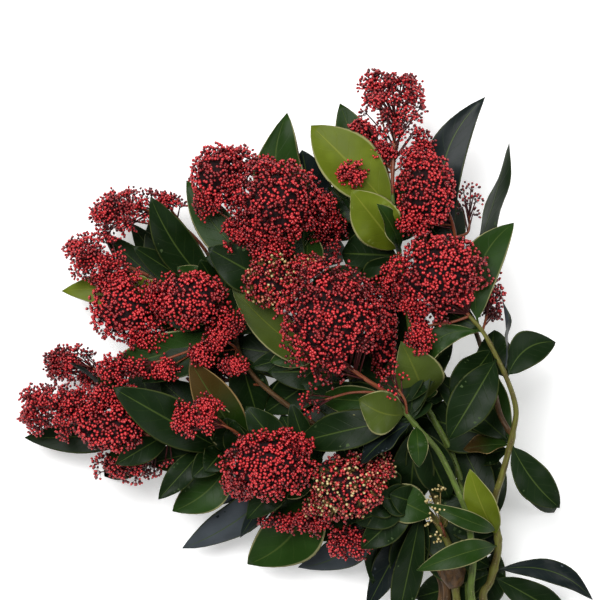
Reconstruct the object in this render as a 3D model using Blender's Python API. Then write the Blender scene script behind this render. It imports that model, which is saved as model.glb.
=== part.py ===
"""A cut bunch of flowering skimmia that lies on its side: stems, leaf whorls and bud panicles.

Metres, +Z up, floor at z = 0. Seven cut stems are gathered near their feet and fan out towards -X and +Y.
Each shoot is one smooth line, cut into a woody limb, a leafy twig and a flower stalk that follow on from
each other. Places are counted in steps from the middle of the photograph: x to its right, y to its top and
z up from the floor. Radii, widths and thicknesses are in millimetres.
"""

import math
import random
from dataclasses import dataclass, field

import bmesh
import bpy
import numpy as np
from mathutils import Matrix, Vector
from mathutils.bvhtree import BVHTree

STEP = 0.00085
MM = 0.001
ORIGIN_STEPS = (5.0, -93.7, 0.0)
GAP = 0.0003

STEM_SIDES = 6
TWIG_SIDES = 5
STALK_SIDES = 4
RING_SPACING = {"limb": 0.027, "leaves": 0.018, "panicle": 0.018}
TWIG_END = 0.0020

LEAF_THICKNESS = 0.0013
LEAF_SECTIONS = (0.13, 0.38, 0.64, 0.88)
LEAF_FOLD = 0.16
LEAF_SHRINKS = (1.0, 0.86, 0.72)
FILLER_LENGTHS = (66, 92)
FILLER_WIDTHS = (27, 34)
FILLER_FAN = 200.0
FILLER_SEED = 1

BODY_SUBDIVISIONS = 3
PEAK_SHARE = 0.95
VALLEY_SHARE = 0.78
PEAK_MATCH = 0.9999
KNOT_SHARE = 0.30
SINK_SHARE = 0.65
BUD_WIDTH = 6.0 * MM
BUD_LENGTH = 12.0 * MM
STALK_WIDTH = 0.9 * MM
RACHIS_TIP = 1.0 * MM
BACK_CONE = -0.62
BRANCH_ALONG = 0.3
GOLDEN_ANGLE = math.pi * (3.0 - math.sqrt(5.0))


@dataclass
class Head:
    """One head of buds: its middle and reach in steps, and how many clubs of buds stand for it."""

    middle: tuple
    reach: tuple
    clubs: int
    dense: bool = False


@dataclass
class Leaf:
    """One leaf: where it leaves the twig (0 to 1), its tip in steps, its width, and how it turns.

    It is rolled round its own length by degrees, and its middle stands off the straight line by steps:
    arch towards its upper face and sway to its side.
    """

    along: float
    tip: tuple
    width: float
    roll: float = 0.0
    arch: float = 5.0
    sway: float = 0.0


@dataclass
class Piece:
    """A stretch of a shoot that ends at one of its points: a limb, a leafy twig or a panicle."""

    node: str
    kind: str
    last: int
    leaves: list = field(default_factory=list)
    fillers: int = 0
    heads: list = field(default_factory=list)
    tint: str = "red"


@dataclass
class Shoot:
    """A line of growth, with its radii at foot and tip, either cut at the foot or grown from a host."""

    name: str
    radii: tuple
    path: list
    pieces: list
    host: str = ""
    host_point: int = 0


SHOOTS = [
    Shoot(
        "right",
        (4.3, 1.5),
        [
            (220, -396, 5.4), (198, -340, 26), (184, -300, 44), (192, -281, 50), (201, -245, 62),
            (196, -205, 76), (202, -175, 86), (208, -151, 92), (213, -134, 96), (218, -109, 103),
            (212, -81, 111), (196, -56, 118), (181, -31, 122), (168, -16, 124), (150, 5, 124),
        ],
        [
            Piece("stem_right", "limb", 3),
            Piece("leaves_foot_right", "leaves", 5, [
                Leaf(0.35, (288, -297, 26), 18, 0, 8, -11),
                Leaf(0.06, (264, -306, 8), 28, 0, 4, -3),
                Leaf(0.45, (116, -270, 92), 22, 10, 24),
                Leaf(0.60, (169, -168, 106), 29, -20, 10),
                Leaf(0.66, (126, -203, 92), 16, 0, 24),
            ], 1),
            Piece("bough_right_low", "limb", 7),
            Piece("leaves_elbow", "leaves", 8, [
                Leaf(0.50, (260, -208, 74), 31, 0, 6, 5),
                Leaf(0.35, (163, -147, 88), 19, 50, 4),
                Leaf(0.60, (168, -98, 70), 34, 0, -8),
                Leaf(0.50, (258, -216, 0), 28, 0, 8),
            ]),
            Piece("bough_right", "limb", 10),
            Piece("leaves_right", "leaves", 13, [
                Leaf(0.35, (147, -138, 130), 37, 0, 10),
                Leaf(0.03, (255, -42, 92), 31, 0, 5, -12),
                Leaf(0.10, (199, 12, 100), 20, 80, 4),
                Leaf(0.75, (112, -66, 108), 28, 10, 10),
                Leaf(0.30, (150, -95, 84), 24, 0, -4, -22),
                Leaf(0.85, (214, 74, 100), 28, 15, 6, -16),
            ]),
            Piece("panicle_right", "panicle", 14, heads=[Head((140, 25, 132), (52, 48, 32), 7, True)]),
        ],
    ),
    Shoot(
        "top",
        (4.0, 1.4),
        [
            (186, -398, 5.1), (178, -340, 24), (170, -296, 40), (172, -250, 50), (168, -205, 58),
            (152, -155, 66), (136, -124, 72), (122, -98, 76), (116, -72, 80), (110, -30, 84),
            (104, 10, 88), (100, 40, 94), (95, 75, 99), (92, 105, 101), (93, 140, 99), (95, 180, 96),
        ],
        [
            Piece("stem_top", "limb", 6),
            Piece("leaves_middle", "leaves", 8, [
                Leaf(0.45, (98, -42, 124), 40, 10, 6),
            ], 3),
            Piece("bough_top", "limb", 11),
            Piece("leaves_top", "leaves", 13, [
                Leaf(0.75, (12, 171, 94), 50, 10, 8),
                Leaf(0.90, (41, 196, 70), 36, 0, -8),
                Leaf(0.10, (51, 109, 126), 42, 0, 8),
                Leaf(0.05, (76, 95, 136), 24, 45, 6),
            ], 2),
            Piece("panicle_top", "panicle", 15, heads=[
                Head((92, 190, 97), (37, 42, 30), 12),
                Head((62, 165, 90), (20, 18, 14), 5),
                Head((122, 150, 94), (16, 22, 14), 5),
            ]),
        ],
    ),
    Shoot(
        "front",
        (3.9, 1.5),
        [
            (200, -410, 16), (184, -345, 40), (172, -296, 58), (173, -262, 72), (168, -220, 88),
            (155, -185, 100), (137, -150, 110), (118, -128, 117), (106, -114, 121), (93, -97, 126),
            (60, -75, 134), (38, -56, 140), (28, -35, 144),
        ],
        [
            Piece("stem_front", "limb", 7),
            Piece("leaves_front", "leaves", 9, [
                Leaf(0.50, (58, -98, 134), 38, 0, 10, -6),
                Leaf(0.35, (-4, -143, 86), 34, 10, 10),
                Leaf(0.20, (60, -163, 112), 28, 40, 6),
                Leaf(0.40, (2, -92, 88), 36, 0, -4),
                Leaf(0.05, (118, -166, 126), 18, 0, 16),
            ], 1),
            Piece("panicle_front", "panicle", 12, heads=[Head((30, -18, 150), (58, 62, 36), 8, True)]),
        ],
    ),
    Shoot(
        "upper_left",
        (4.2, 1.6),
        [
            (154, -394, 5.3), (156, -345, 22), (158, -296, 34), (155, -255, 42), (130, -185, 54),
            (90, -125, 66), (58, -86, 74), (20, -38, 80), (-4, -6, 80), (-14, 10, 80), (-27, 38, 84),
            (-30, 62, 96), (-28, 85, 106),
        ],
        [
            Piece("stem_upper_left", "limb", 6),
            Piece("leaves_inner", "leaves", 7, [
                Leaf(0.20, (-69, 16, 92), 32, 0, 8, -10),
                Leaf(0.30, (-32, -72, 84), 32, 0, 4),
            ], 2),
            Piece("bough_upper_left", "limb", 8),
            Piece("leaves_upper_left", "leaves", 10, [
                Leaf(0.60, (-114, 120, 62), 34, 0, 2, -11),
                Leaf(0.30, (-92, 52, 94), 40, 0, 4),
            ], 3),
            Piece("panicle_upper_left", "panicle", 12, heads=[Head((-22, 96, 114), (52, 48, 32), 7, True)]),
        ],
    ),
    Shoot(
        "left",
        (4.1, 1.5),
        [
            (136, -402, 5.2), (142, -345, 26), (148, -296, 42), (140, -268, 44), (105, -205, 50),
            (55, -155, 56), (10, -122, 62), (-38, -85, 68), (-60, -55, 73), (-68, -28, 79),
            (-80, -8, 84), (-93, -2, 98), (-104, 2, 110),
        ],
        [
            Piece("stem_left", "limb", 8),
            Piece("leaves_left", "leaves", 10, [
                Leaf(0.45, (-198, -72, 72), 34, 0, 8),
                Leaf(0.30, (-158, -82, 84), 30, 20, 6),
            ], 2),
            Piece("panicle_left_inner", "panicle", 12, heads=[Head((-106, 2, 114), (40, 32, 23), 5, True)]),
        ],
    ),
    Shoot(
        "lower_left",
        (4.0, 1.5),
        [
            (118, -388, 5.1), (132, -345, 16), (144, -296, 26), (134, -270, 28), (100, -232, 32),
            (50, -200, 38), (0, -178, 46), (-45, -160, 56), (-75, -152, 64), (-105, -144, 70),
            (-140, -136, 76), (-178, -132, 80),
        ],
        [
            Piece("stem_lower_left", "limb", 7),
            Piece("leaves_lower_left", "leaves", 9, [
                Leaf(0.50, (-186, -87, 112), 40, 0, 12),
                Leaf(0.05, (-110, -60, 100), 36, 0, 8),
                Leaf(0.35, (-125, -210, 62), 34, 0, 6, -5),
            ]),
            Piece("panicle_lower_left", "panicle", 11, heads=[
                Head((-188, -128, 84), (50, 29, 26), 6, True),
                Head((-166, -166, 60), (50, 22, 18), 8),
            ]),
        ],
    ),
    Shoot(
        "lower",
        (4.2, 1.5),
        [
            (172, -408, 15), (164, -345, 36), (157, -296, 52), (155, -270, 54), (146, -238, 58),
            (126, -210, 63), (100, -197, 67), (66, -186, 70), (32, -173, 73), (5, -165, 75),
            (-15, -162, 82), (-28, -163, 98),
        ],
        [
            Piece("stem_lower", "limb", 5),
            Piece("leaves_lower", "leaves", 7, [
                Leaf(0.02, (68, -312, 12), 20, 20, 4),
                Leaf(0.04, (98, -328, 14), 26, 0, 14),
                Leaf(0.85, (-2, -268, 14), 33, 180, 4, 22),
                Leaf(0.80, (131, -216, 76), 34, 0, 4),
                Leaf(0.70, (73, -287, 26), 26, 0, -8),
                Leaf(0.20, (66, -262, 0), 28, 0, 6),
            ], 1),
            Piece("bough_lower", "limb", 8),
            Piece("leaves_lower_front", "leaves", 10, [
                Leaf(0.70, (-122, -211, 44), 22, 150, 4),
                Leaf(0.80, (-117, -248, 28), 32, 160, 4, 10),
                Leaf(0.75, (-60, -239, 56), 18, 30, 6),
                Leaf(0.30, (-52, -264, 28), 44, 0, 6, -21),
            ], 1),
            Piece("panicle_lower_front", "panicle", 11, heads=[Head((-33, -163, 116), (52, 39, 30), 7, True)]),
        ],
    ),
    Shoot(
        "inner",
        (2.6, 1.3),
        [
            (207, -128, 90), (199, -112, 88), (191, -79, 88), (181, -48, 88), (168, -10, 86),
            (162, 10, 86), (158, 30, 87), (155, 62, 94), (148, 86, 106), (138, 100, 114),
        ],
        [
            Piece("bough_inner", "limb", 6),
            Piece("leaves_upper_right", "leaves", 8, [
                Leaf(0.95, (185, 203, 82), 30, 0, -4, -34),
                Leaf(0.02, (209, 154, 86), 24, 62, 10),
                Leaf(0.30, (142, 116, 0), 30, 0, 8),
            ], 2),
            Piece("panicle_upper_right", "panicle", 10, heads=[Head((126, 108, 116), (33, 44, 26), 7, True)]),
        ],
        "right",
        8,
    ),
    Shoot(
        "back",
        (2.3, 1.4),
        [(6, 12, 70), (12, 40, 62), (20, 82, 60)],
        [
            Piece("leaves_back", "leaves", 3, [
                Leaf(0.95, (-14, 186, 84), 38, 20, 6, -27),
                Leaf(0.90, (2, 150, 80), 38, 10, -2),
                Leaf(0.50, (-12, 136, 0), 32, 0, 8),
            ], 3),
        ],
        "upper_left",
        8,
    ),
    Shoot(
        "far_left",
        (2.2, 1.2),
        [
            (-125, -132, 60), (-148, -124, 56), (-176, -119, 56), (-205, -114, 60), (-235, -109, 64),
        ],
        [
            Piece("leaves_far_left", "leaves", 3, [
                Leaf(0.55, (-278, -139, 34), 30, 0, -6, -4),
                Leaf(0.75, (-232, -62, 78), 20, 80, 2),
                Leaf(0.20, (-184, -126, 0), 28, 0, 6),
            ], 2),
            Piece("panicle_far_left", "panicle", 5, heads=[Head((-238, -112, 66), (46, 32, 24), 11)]),
        ],
        "lower_left",
        9,
    ),
    Shoot(
        "outer_left",
        (2.2, 1.2),
        [
            (-66, -58, 56), (-95, -24, 50), (-125, 4, 50), (-152, 24, 53), (-185, 38, 58), (-203, 42, 64),
        ],
        [
            Piece("leaves_outer_left", "leaves", 4, [
                Leaf(0.60, (-237, 9, 46), 28, 0, 4, 25),
                Leaf(0.60, (-200, 68, 40), 24, 0, -4),
                Leaf(0.50, (-172, 78, 0), 28, 0, 6),
            ], 2),
            Piece("panicle_outer_left", "panicle", 6, heads=[Head((-202, 42, 66), (35, 28, 24), 10)]),
        ],
        "left",
        7,
    ),
    Shoot(
        "far_upper_left",
        (2.0, 1.1),
        [
            (-70, -20, 54), (-84, 16, 50), (-94, 48, 52), (-118, 74, 56), (-146, 88, 60), (-168, 92, 64),
        ],
        [
            Piece("leaves_far_upper_left", "leaves", 3, [
                Leaf(0.60, (-149, 103, 92), 34, 0, 0, -8),
                Leaf(0.50, (-168, 54, 68), 24, 0, -2),
                Leaf(0.75, (-140, 50, 66), 22, 0, 0),
            ]),
            Piece("panicle_far_upper_left", "panicle", 6, heads=[
                Head((-170, 90, 66), (43, 26, 22), 10),
                Head((-134, 96, 60), (18, 18, 12), 4),
            ]),
        ],
        "left",
        8,
    ),
]


def side_panicle(name, host, host_point, path, heads, tint="red"):
    """A panicle on its own stalk from the side of a host shoot."""
    piece = Piece(name, "panicle", len(path), heads=heads, tint=tint)
    return Shoot(name, (1.2, 1.0), path, [piece], host, host_point)


SHOOTS += [
    side_panicle("sprig_right_low", "right", 13,
                 [(150, -22, 122), (130, -25, 124), (120, -33, 127)], [Head((118, -37, 128), (16, 20, 13), 6)]),
    side_panicle("sprig_right_edge", "right", 12,
                 [(184, -22, 110), (188, -5, 100)], [Head((190, 4, 96), (16, 30, 15), 7)]),
    side_panicle("sprig_far_right", "inner", 8,
                 [(166, 72, 86), (170, 88, 84)], [Head((170, 102, 84), (17, 20, 14), 6)]),
    side_panicle("panicle_top_left", "upper_left", 10,
                 [(-48, 66, 90), (-68, 98, 91), (-80, 122, 92)], [Head((-84, 126, 94), (29, 34, 25), 5, True)]),
    side_panicle("sprig_back", "back", 2,
                 [(20, 52, 74), (26, 64, 82)], [Head((28, 70, 86), (20, 30, 18), 7)]),
    side_panicle("panicle_middle", "upper_left", 9,
                 [(-18, 12, 94), (-24, 16, 106)], [Head((-27, 18, 114), (34, 31, 22), 4, True)], "mixed"),
    side_panicle("panicle_inner_right", "top", 8,
                 [(102, -60, 90), (90, -45, 98), (84, -32, 102)], [Head((82, -32, 103), (19, 58, 20), 4, True)]),
    side_panicle("panicle_left_outer", "left", 10,
                 [(-100, -14, 80), (-130, -14, 80), (-160, -12, 84)], [Head((-176, -10, 86), (40, 36, 25), 6, True)]),
    side_panicle("sprig_left", "left", 8,
                 [(-66, -46, 88), (-76, -40, 98), (-80, -38, 104)],
                 [Head((-82, -38, 108), (19, 14, 10), 5), Head((-66, -66, 94), (16, 10, 9), 4)]),
    side_panicle("sprig_edge_left", "far_left", 2,
                 [(-165, -100, 50), (-190, -78, 50), (-215, -66, 50)], [Head((-232, -62, 50), (25, 22, 18), 8)]),
    side_panicle("sprig_over_left", "left", 9,
                 [(-90, -42, 90), (-125, -56, 95), (-158, -66, 97)],
                 [Head((-180, -68, 98), (29, 16, 12), 8), Head((-134, -70, 95), (18, 13, 9), 5)]),
    side_panicle("sprig_front_left", "lower_left", 7,
                 [(-52, -145, 78), (-66, -130, 100), (-90, -120, 114)], [Head((-107, -118, 120), (29, 20, 13), 8)]),
    side_panicle("panicle_lower_middle", "lower", 7,
                 [(62, -187, 82), (54, -187, 92)], [Head((47, -187, 104), (41, 38, 22), 5, True)], "mixed"),
    side_panicle("sprig_low", "lower", 6,
                 [(88, -218, 70), (70, -234, 68)],
                 [Head((50, -243, 68), (29, 20, 15), 7), Head((-10, -223, 72), (38, 12, 9), 5)]),
    side_panicle("sprig_green", "lower", 4,
                 [(144, -232, 74), (140, -222, 86)], [Head((138, -212, 92), (17, 30, 10), 7)], "green"),
    side_panicle("sprig_middle_low", "front", 9,
                 [(76, -92, 124), (50, -92, 121), (25, -99, 117)], [Head((8, -103, 114), (13, 17, 9), 5)]),
    side_panicle("sprig_front", "front", 8,
                 [(104, -100, 136), (97, -88, 143)], [Head((90, -76, 146), (13, 23, 8), 6)]),
    side_panicle("panicle_under_left", "left", 7,
                 [(-58, -84, 52), (-82, -78, 40)], [Head((-98, -72, 30), (34, 28, 22), 8)]),
]

FINISHES = {
    "limb": ((0.14, 0.13, 0.04), 0.6),
    "leaves": ((0.03, 0.08, 0.03), 0.35),
    "red": ((0.42, 0.02, 0.03), 0.4),
    "mixed": ((0.42, 0.10, 0.06), 0.4),
    "green": ((0.55, 0.50, 0.22), 0.45),
}


def place(steps):
    """The point in metres of a place in steps."""
    return (np.asarray(steps, float) - ORIGIN_STEPS) * STEP


class Line:
    """A smooth curve through a few points, read by the length walked along it."""

    SUBDIVISIONS = 12

    def __init__(self, points):
        knots = np.asarray(points, float)
        before = np.vstack([2 * knots[0] - knots[1], knots[:-1]])
        after = np.vstack([knots[1:], 2 * knots[-1] - knots[-2]])
        slopes = (after - before) / 2
        share = np.linspace(0, 1, self.SUBDIVISIONS, endpoint=False)[:, None]
        stretches = []
        for start, end, out, into in zip(knots[:-1], knots[1:], slopes[:-1], slopes[1:]):
            stretches.append(
                (2 * share**3 - 3 * share**2 + 1) * start
                + (share**3 - 2 * share**2 + share) * out
                + (-2 * share**3 + 3 * share**2) * end
                + (share**3 - share**2) * into
            )
        self.points = np.vstack(stretches + [knots[-1:]])
        steps = np.linalg.norm(np.diff(self.points, axis=0), axis=1)
        self.walked = np.concatenate([[0.0], np.cumsum(steps)])
        self.length = self.walked[-1]

    def at(self, distance):
        return np.array([np.interp(distance, self.walked, self.points[:, i]) for i in range(3)])

    def distance_of(self, knot):
        return self.walked[knot * self.SUBDIVISIONS]

    def tangent(self, distance):
        reach = self.length * 0.002
        along = self.at(min(distance + reach, self.length)) - self.at(max(distance - reach, 0.0))
        return along / np.linalg.norm(along)


def unit(vector):
    """The vector at length one."""
    return vector / np.linalg.norm(vector)


def across(direction, wanted):
    """The part of a wanted vector that stands square to a direction, at length one."""
    square = wanted - direction * np.dot(wanted, direction)
    if np.linalg.norm(square) < 0.05:
        wanted = np.array([0.3, 0.9, 0.1])
        square = wanted - direction * np.dot(wanted, direction)
    return unit(square)


def tube(line, start, end, radius_of, sides, spacing):
    """A closed tube along a stretch of a line, with flat ends: its corners and faces."""
    count = max(2, int(round((end - start) / spacing)) + 1)
    corners = []
    side = across(line.tangent(start), np.array([0.2, 0.1, 1.0]))
    for distance in np.linspace(start, end, count):
        forward = line.tangent(distance)
        side = across(forward, side)
        other = np.cross(forward, side)
        radius = radius_of(distance)
        for i in range(sides):
            turn = 2 * math.pi * i / sides
            corners.append(line.at(distance) + radius * (math.cos(turn) * side + math.sin(turn) * other))
    faces = [tuple(range(sides))[::-1]]
    for ring in range(count - 1):
        for i in range(sides):
            j = (i + 1) % sides
            a, b = ring * sides + i, ring * sides + j
            faces.append((a, b, b + sides, a + sides))
    faces.append(tuple((count - 1) * sides + i for i in range(sides)))
    return np.array(corners), faces


def blade_width(share):
    """The width of a leaf at a share of its length, as a share of its full width."""
    return max(0.06, math.sin(math.pi * share**1.1))


def leaf_blade(root, tip, width, roll, arch, sway):
    """A closed leaf from its sunk root to its tip, with four corners in each section."""
    forward = unit(tip - root)
    up = across(forward, np.array([0.0, 0.0, 1.0]))
    turned = Matrix.Rotation(math.radians(roll), 3, Vector(forward)) @ Vector(up)
    face = np.array(turned)
    side = np.cross(forward, face)
    lift = face if abs(roll) <= 90 else -face
    corners = [root]
    for share in LEAF_SECTIONS:
        bow = 4 * share * (1 - share)
        middle = root + (tip - root) * share + (lift * arch + side * sway) * bow
        half = width / 2 * blade_width(share)
        thick = LEAF_THICKNESS / 2 * (1.15 - 0.4 * share)
        edge = face * (half * LEAF_FOLD)
        corners += [
            middle - side * half + edge,
            middle + face * thick,
            middle + side * half + edge,
            middle - face * thick,
        ]
    corners.append(tip)
    faces = []
    last = len(corners) - 1
    for i in range(4):
        j = (i + 1) % 4
        faces.append((0, 1 + j, 1 + i))
        for ring in range(len(LEAF_SECTIONS) - 1):
            low = 1 + 4 * ring
            faces.append((low + i, low + j, low + 4 + j))
            faces.append((low + i, low + 4 + j, low + 4 + i))
        faces.append((last - 4 + i, last - 4 + j, last))
    return above_floor(corners), faces


def bud_club(root, tip, width, stalk):
    """A stalk with a fat bud at its end, or with no stalk a stout club, three corners round."""
    forward = unit(tip - root)
    side = across(forward, np.array([0.1, 0.2, 1.0]))
    other = np.cross(forward, side)
    reach = np.linalg.norm(tip - root)
    if stalk:
        rings = [(0.0, stalk), (max(reach - BUD_LENGTH, reach * 0.3), stalk)]
    else:
        rings = [(0.0, width * 0.45)]
    rings.append((reach - BUD_LENGTH * 0.42, width))
    corners = []
    for distance, radius in rings:
        for i in range(3):
            turn = 2 * math.pi * i / 3
            spoke = math.cos(turn) * side + math.sin(turn) * other
            corners.append(root + forward * distance + radius * spoke)
    corners.append(tip)
    faces = [(2, 1, 0)]
    for ring in range(len(rings) - 1):
        for i in range(3):
            a, b = 3 * ring + i, 3 * ring + (i + 1) % 3
            faces += [(a, b, b + 3), (a, b + 3, a + 3)]
    last = len(corners) - 1
    faces += [(last - 3 + i, last - 3 + (i + 1) % 3, last) for i in range(3)]
    return above_floor(corners), faces


def ball(subdivisions):
    """The corners and faces of a ball of radius one with equal faces."""
    shape = bmesh.new()
    bmesh.ops.create_icosphere(shape, subdivisions=subdivisions, radius=1.0)
    shape.verts.index_update()
    corners = np.array([corner.co[:] for corner in shape.verts])
    faces = [tuple(corner.index for corner in face.verts) for face in shape.faces]
    shape.free()
    return corners, faces


def core_ball(middle, reach, dense):
    """The knobbly body of a dense head, or the small knot where the stalks of an open one spring."""
    if dense:
        corners, faces = ball(BODY_SUBDIVISIONS)
        peaks, _ = ball(BODY_SUBDIVISIONS - 1)
        on_peak = (corners @ peaks.T).max(axis=1) > PEAK_MATCH
        corners = corners * np.where(on_peak, PEAK_SHARE, VALLEY_SHARE)[:, None]
    else:
        corners, faces = ball(1)
        corners = corners * KNOT_SHARE
    return above_floor(corners * reach + middle), faces


def above_floor(corners):
    """The corners with none of them lower than the floor."""
    corners = np.array(corners)
    corners[:, 2] = np.maximum(corners[:, 2], 0.0)
    return corners


def head_directions(count, axis, dice):
    """Directions spread evenly over a head, apart from a cone round its stalk."""
    side = across(axis, np.array([0.0, 0.3, 1.0]))
    other = np.cross(axis, side)
    directions = []
    for i in range(count):
        rise = 1.0 - (1.0 - BACK_CONE) * (i + 0.5) / count
        turn = GOLDEN_ANGLE * i + dice.uniform(-0.12, 0.12)
        ring = math.sqrt(1.0 - rise * rise)
        directions.append(axis * rise + ring * (math.cos(turn) * side + math.sin(turn) * other))
    return directions


class Space:
    """The shapes that are already in their places, and which node each belongs to."""

    def __init__(self):
        self.lows = np.zeros((0, 3))
        self.highs = np.zeros((0, 3))
        self.trees = []
        self.nodes = []

    def clashes(self, corners, faces, node):
        """The other nodes that a shape would cut through."""
        low, high = corners.min(axis=0), corners.max(axis=0)
        near = np.all((self.lows <= high) & (self.highs >= low), axis=1)
        near &= np.array([name != node for name in self.nodes], bool)
        tree = None
        found = []
        for i in np.nonzero(near)[0]:
            tree = tree or BVHTree.FromPolygons(corners.tolist(), faces)
            if tree.overlap(self.trees[i]):
                found.append(self.nodes[i])
        return found

    def take(self, corners, faces, node):
        """Give a shape its place."""
        self.lows = np.vstack([self.lows, corners.min(axis=0) - GAP])
        self.highs = np.vstack([self.highs, corners.max(axis=0) + GAP])
        self.trees.append(BVHTree.FromPolygons(corners.tolist(), faces))
        self.nodes.append(node)


class Bunch:
    """The shapes of every node, grown in order of what has to keep its place."""

    TRIM = 0.0005

    def __init__(self):
        self.space = Space()
        self.shapes = {}
        self.twigs = {}
        self.stalks = {}
        self.lines = {}
        self.notes = []

    def add(self, node, shape, label=""):
        """Give a node a shape if it is clear of every other node, or else say what it would cut."""
        hit = self.space.clashes(*shape, node)
        if not hit:
            self.space.take(*shape, node)
            self.shapes.setdefault(node, []).append(shape)
        elif label:
            self.notes.append(f"{node} {label} cuts {sorted(set(hit))}")
        return hit

    def grow_line(self, shoot):
        """The shoot's tubes, each 0.3 mm clear of the one before and of the host."""
        points = [place(point) for point in shoot.path]
        if shoot.host:
            host = self.lines[shoot.host]
            points = [host.at(host.distance_of(shoot.host_point))] + points
        line = Line(points)
        self.lines[shoot.name] = line
        foot, tip = shoot.radii

        def radius_of(distance):
            return MM * (foot + (tip - foot) * distance / line.length)

        start = 0.0
        for piece in shoot.pieces:
            end = line.distance_of(piece.last)
            sides = {"limb": STEM_SIDES, "leaves": TWIG_SIDES, "panicle": STALK_SIDES}[piece.kind]
            stop = end - GAP / 2 if piece is not shoot.pieces[-1] else end
            begin = start + GAP / 2 if start else 0.0
            shape = tube(line, begin, stop, radius_of, sides, RING_SPACING[piece.kind])
            while shoot.host and start == 0.0 and self.space.clashes(*shape, piece.node) and begin < stop / 2:
                begin += self.TRIM
                shape = tube(line, begin, stop, radius_of, sides, RING_SPACING[piece.kind])
            self.add(piece.node, shape, "tube")
            self.twigs[piece.node] = (line, begin, stop)
            start = end

    def grow_cores(self, piece):
        """The stalks of a panicle's further heads, and the cores of its dense heads."""
        line, begin, stop = self.twigs[piece.node]
        self.stalks[piece.node] = [self.twigs[piece.node]]
        for number, head in enumerate(piece.heads):
            middle = place(head.middle)
            if number:
                branch = Line([line.at(begin + (stop - begin) * BRANCH_ALONG), middle])
                self.stalks[piece.node].append((branch, 0.0, branch.length))
                spread = tube(branch, 0.0, branch.length, lambda walked: RACHIS_TIP, 3, branch.length)
                self.add(piece.node, spread, "branch")
            self.add(piece.node, core_ball(middle, np.array(head.reach) * STEP, head.dense), "core")

    def grow_leaf(self, node, leaf):
        """One leaf at its full size, or smaller where another node is in its way."""
        line, begin, stop = self.twigs[node]
        root = line.at(begin + TWIG_END + (stop - begin - 2 * TWIG_END) * leaf.along)
        hit = []
        for shrink in LEAF_SHRINKS:
            tip = root + (place(leaf.tip) - root) * shrink
            reach = STEP * shrink
            width = leaf.width * MM * shrink
            shape = leaf_blade(root, tip, width, leaf.roll, leaf.arch * reach, leaf.sway * reach)
            hit = self.add(node, shape)
            if not hit:
                break
            if shrink == 1.0:
                self.notes.append(f"{node} leaf {leaf.tip} at full size cuts {sorted(set(hit))}")
        if hit:
            self.notes.append(f"{node} leaf {leaf.tip} LEFT OUT")
        return not hit

    def grow_fillers(self, piece):
        """Leaves that fill the hidden side of a whorl by rule, low and to the sides."""
        line, begin, stop = self.twigs[piece.node]
        dice = random.Random(f"{piece.node} {FILLER_SEED}")
        for number in range(piece.fillers):
            along = dice.uniform(0.15, 0.9)
            distance = begin + TWIG_END + (stop - begin - 2 * TWIG_END) * along
            forward = line.tangent(distance)
            side = across(forward, np.cross(forward, [0.0, 0.0, 1.0]))
            down = -np.cross(side, forward) if np.cross(side, forward)[2] > 0 else np.cross(side, forward)
            turn = math.radians(FILLER_FAN * ((number + 0.5) / piece.fillers - 0.5)) + dice.uniform(-0.2, 0.2)
            lean = math.radians(dice.uniform(28, 46))
            outward = math.cos(turn) * down + math.sin(turn) * side
            heading = math.cos(lean) * outward + math.sin(lean) * forward
            length = dice.uniform(*FILLER_LENGTHS) * MM
            tip = line.at(distance) + heading * length
            tip_steps = tip / STEP + ORIGIN_STEPS
            tip_steps[2] = max(tip_steps[2], 0.0)
            width = dice.uniform(*FILLER_WIDTHS)
            self.grow_leaf(piece.node, Leaf(along, tuple(tip_steps.round(1)), width, 0.0, 5.0))

    def grow_buds(self, piece):
        """The bud clubs of a panicle, each left out where another node is in its way."""
        dice = random.Random(piece.node)
        missed = 0
        for head, (line, begin, stop) in zip(piece.heads, self.stalks[piece.node]):
            middle = place(head.middle)
            reach = np.array(head.reach) * STEP
            axis = unit(middle - line.at(begin))
            share = VALLEY_SHARE if head.dense else KNOT_SHARE
            stalk = 0.0 if head.dense else STALK_WIDTH
            for direction in head_directions(head.clubs, axis, dice):
                tip = middle + direction * reach * dice.uniform(0.92, 1.0)
                root = middle + direction * reach * share * SINK_SHARE
                missed += bool(self.add(piece.node, bud_club(root, tip, BUD_WIDTH, stalk)))
        if missed:
            self.notes.append(f"{piece.node} lost {missed} clubs")


def mesh_of(name, shape):
    """A mesh from corners and faces."""
    corners, faces = shape
    mesh = bpy.data.meshes.new(name)
    mesh.from_pydata(np.asarray(corners).tolist(), [], faces)
    mesh.validate()
    return mesh


def keep_largest(mesh):
    """Drop every loose scrap but the largest body of a mesh."""
    shape = bmesh.new()
    shape.from_mesh(mesh)
    unseen = set(shape.verts)
    bodies = []
    while unseen:
        body = {unseen.pop()}
        edge = list(body)
        while edge:
            corner = edge.pop()
            fresh = [link.other_vert(corner) for link in corner.link_edges]
            fresh = [other for other in fresh if other in unseen]
            unseen.difference_update(fresh)
            body.update(fresh)
            edge += fresh
        bodies.append(body)
    bodies.sort(key=len)
    for body in bodies[:-1]:
        bmesh.ops.delete(shape, geom=list(body), context="VERTS")
    shape.to_mesh(mesh)
    shape.free()


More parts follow.
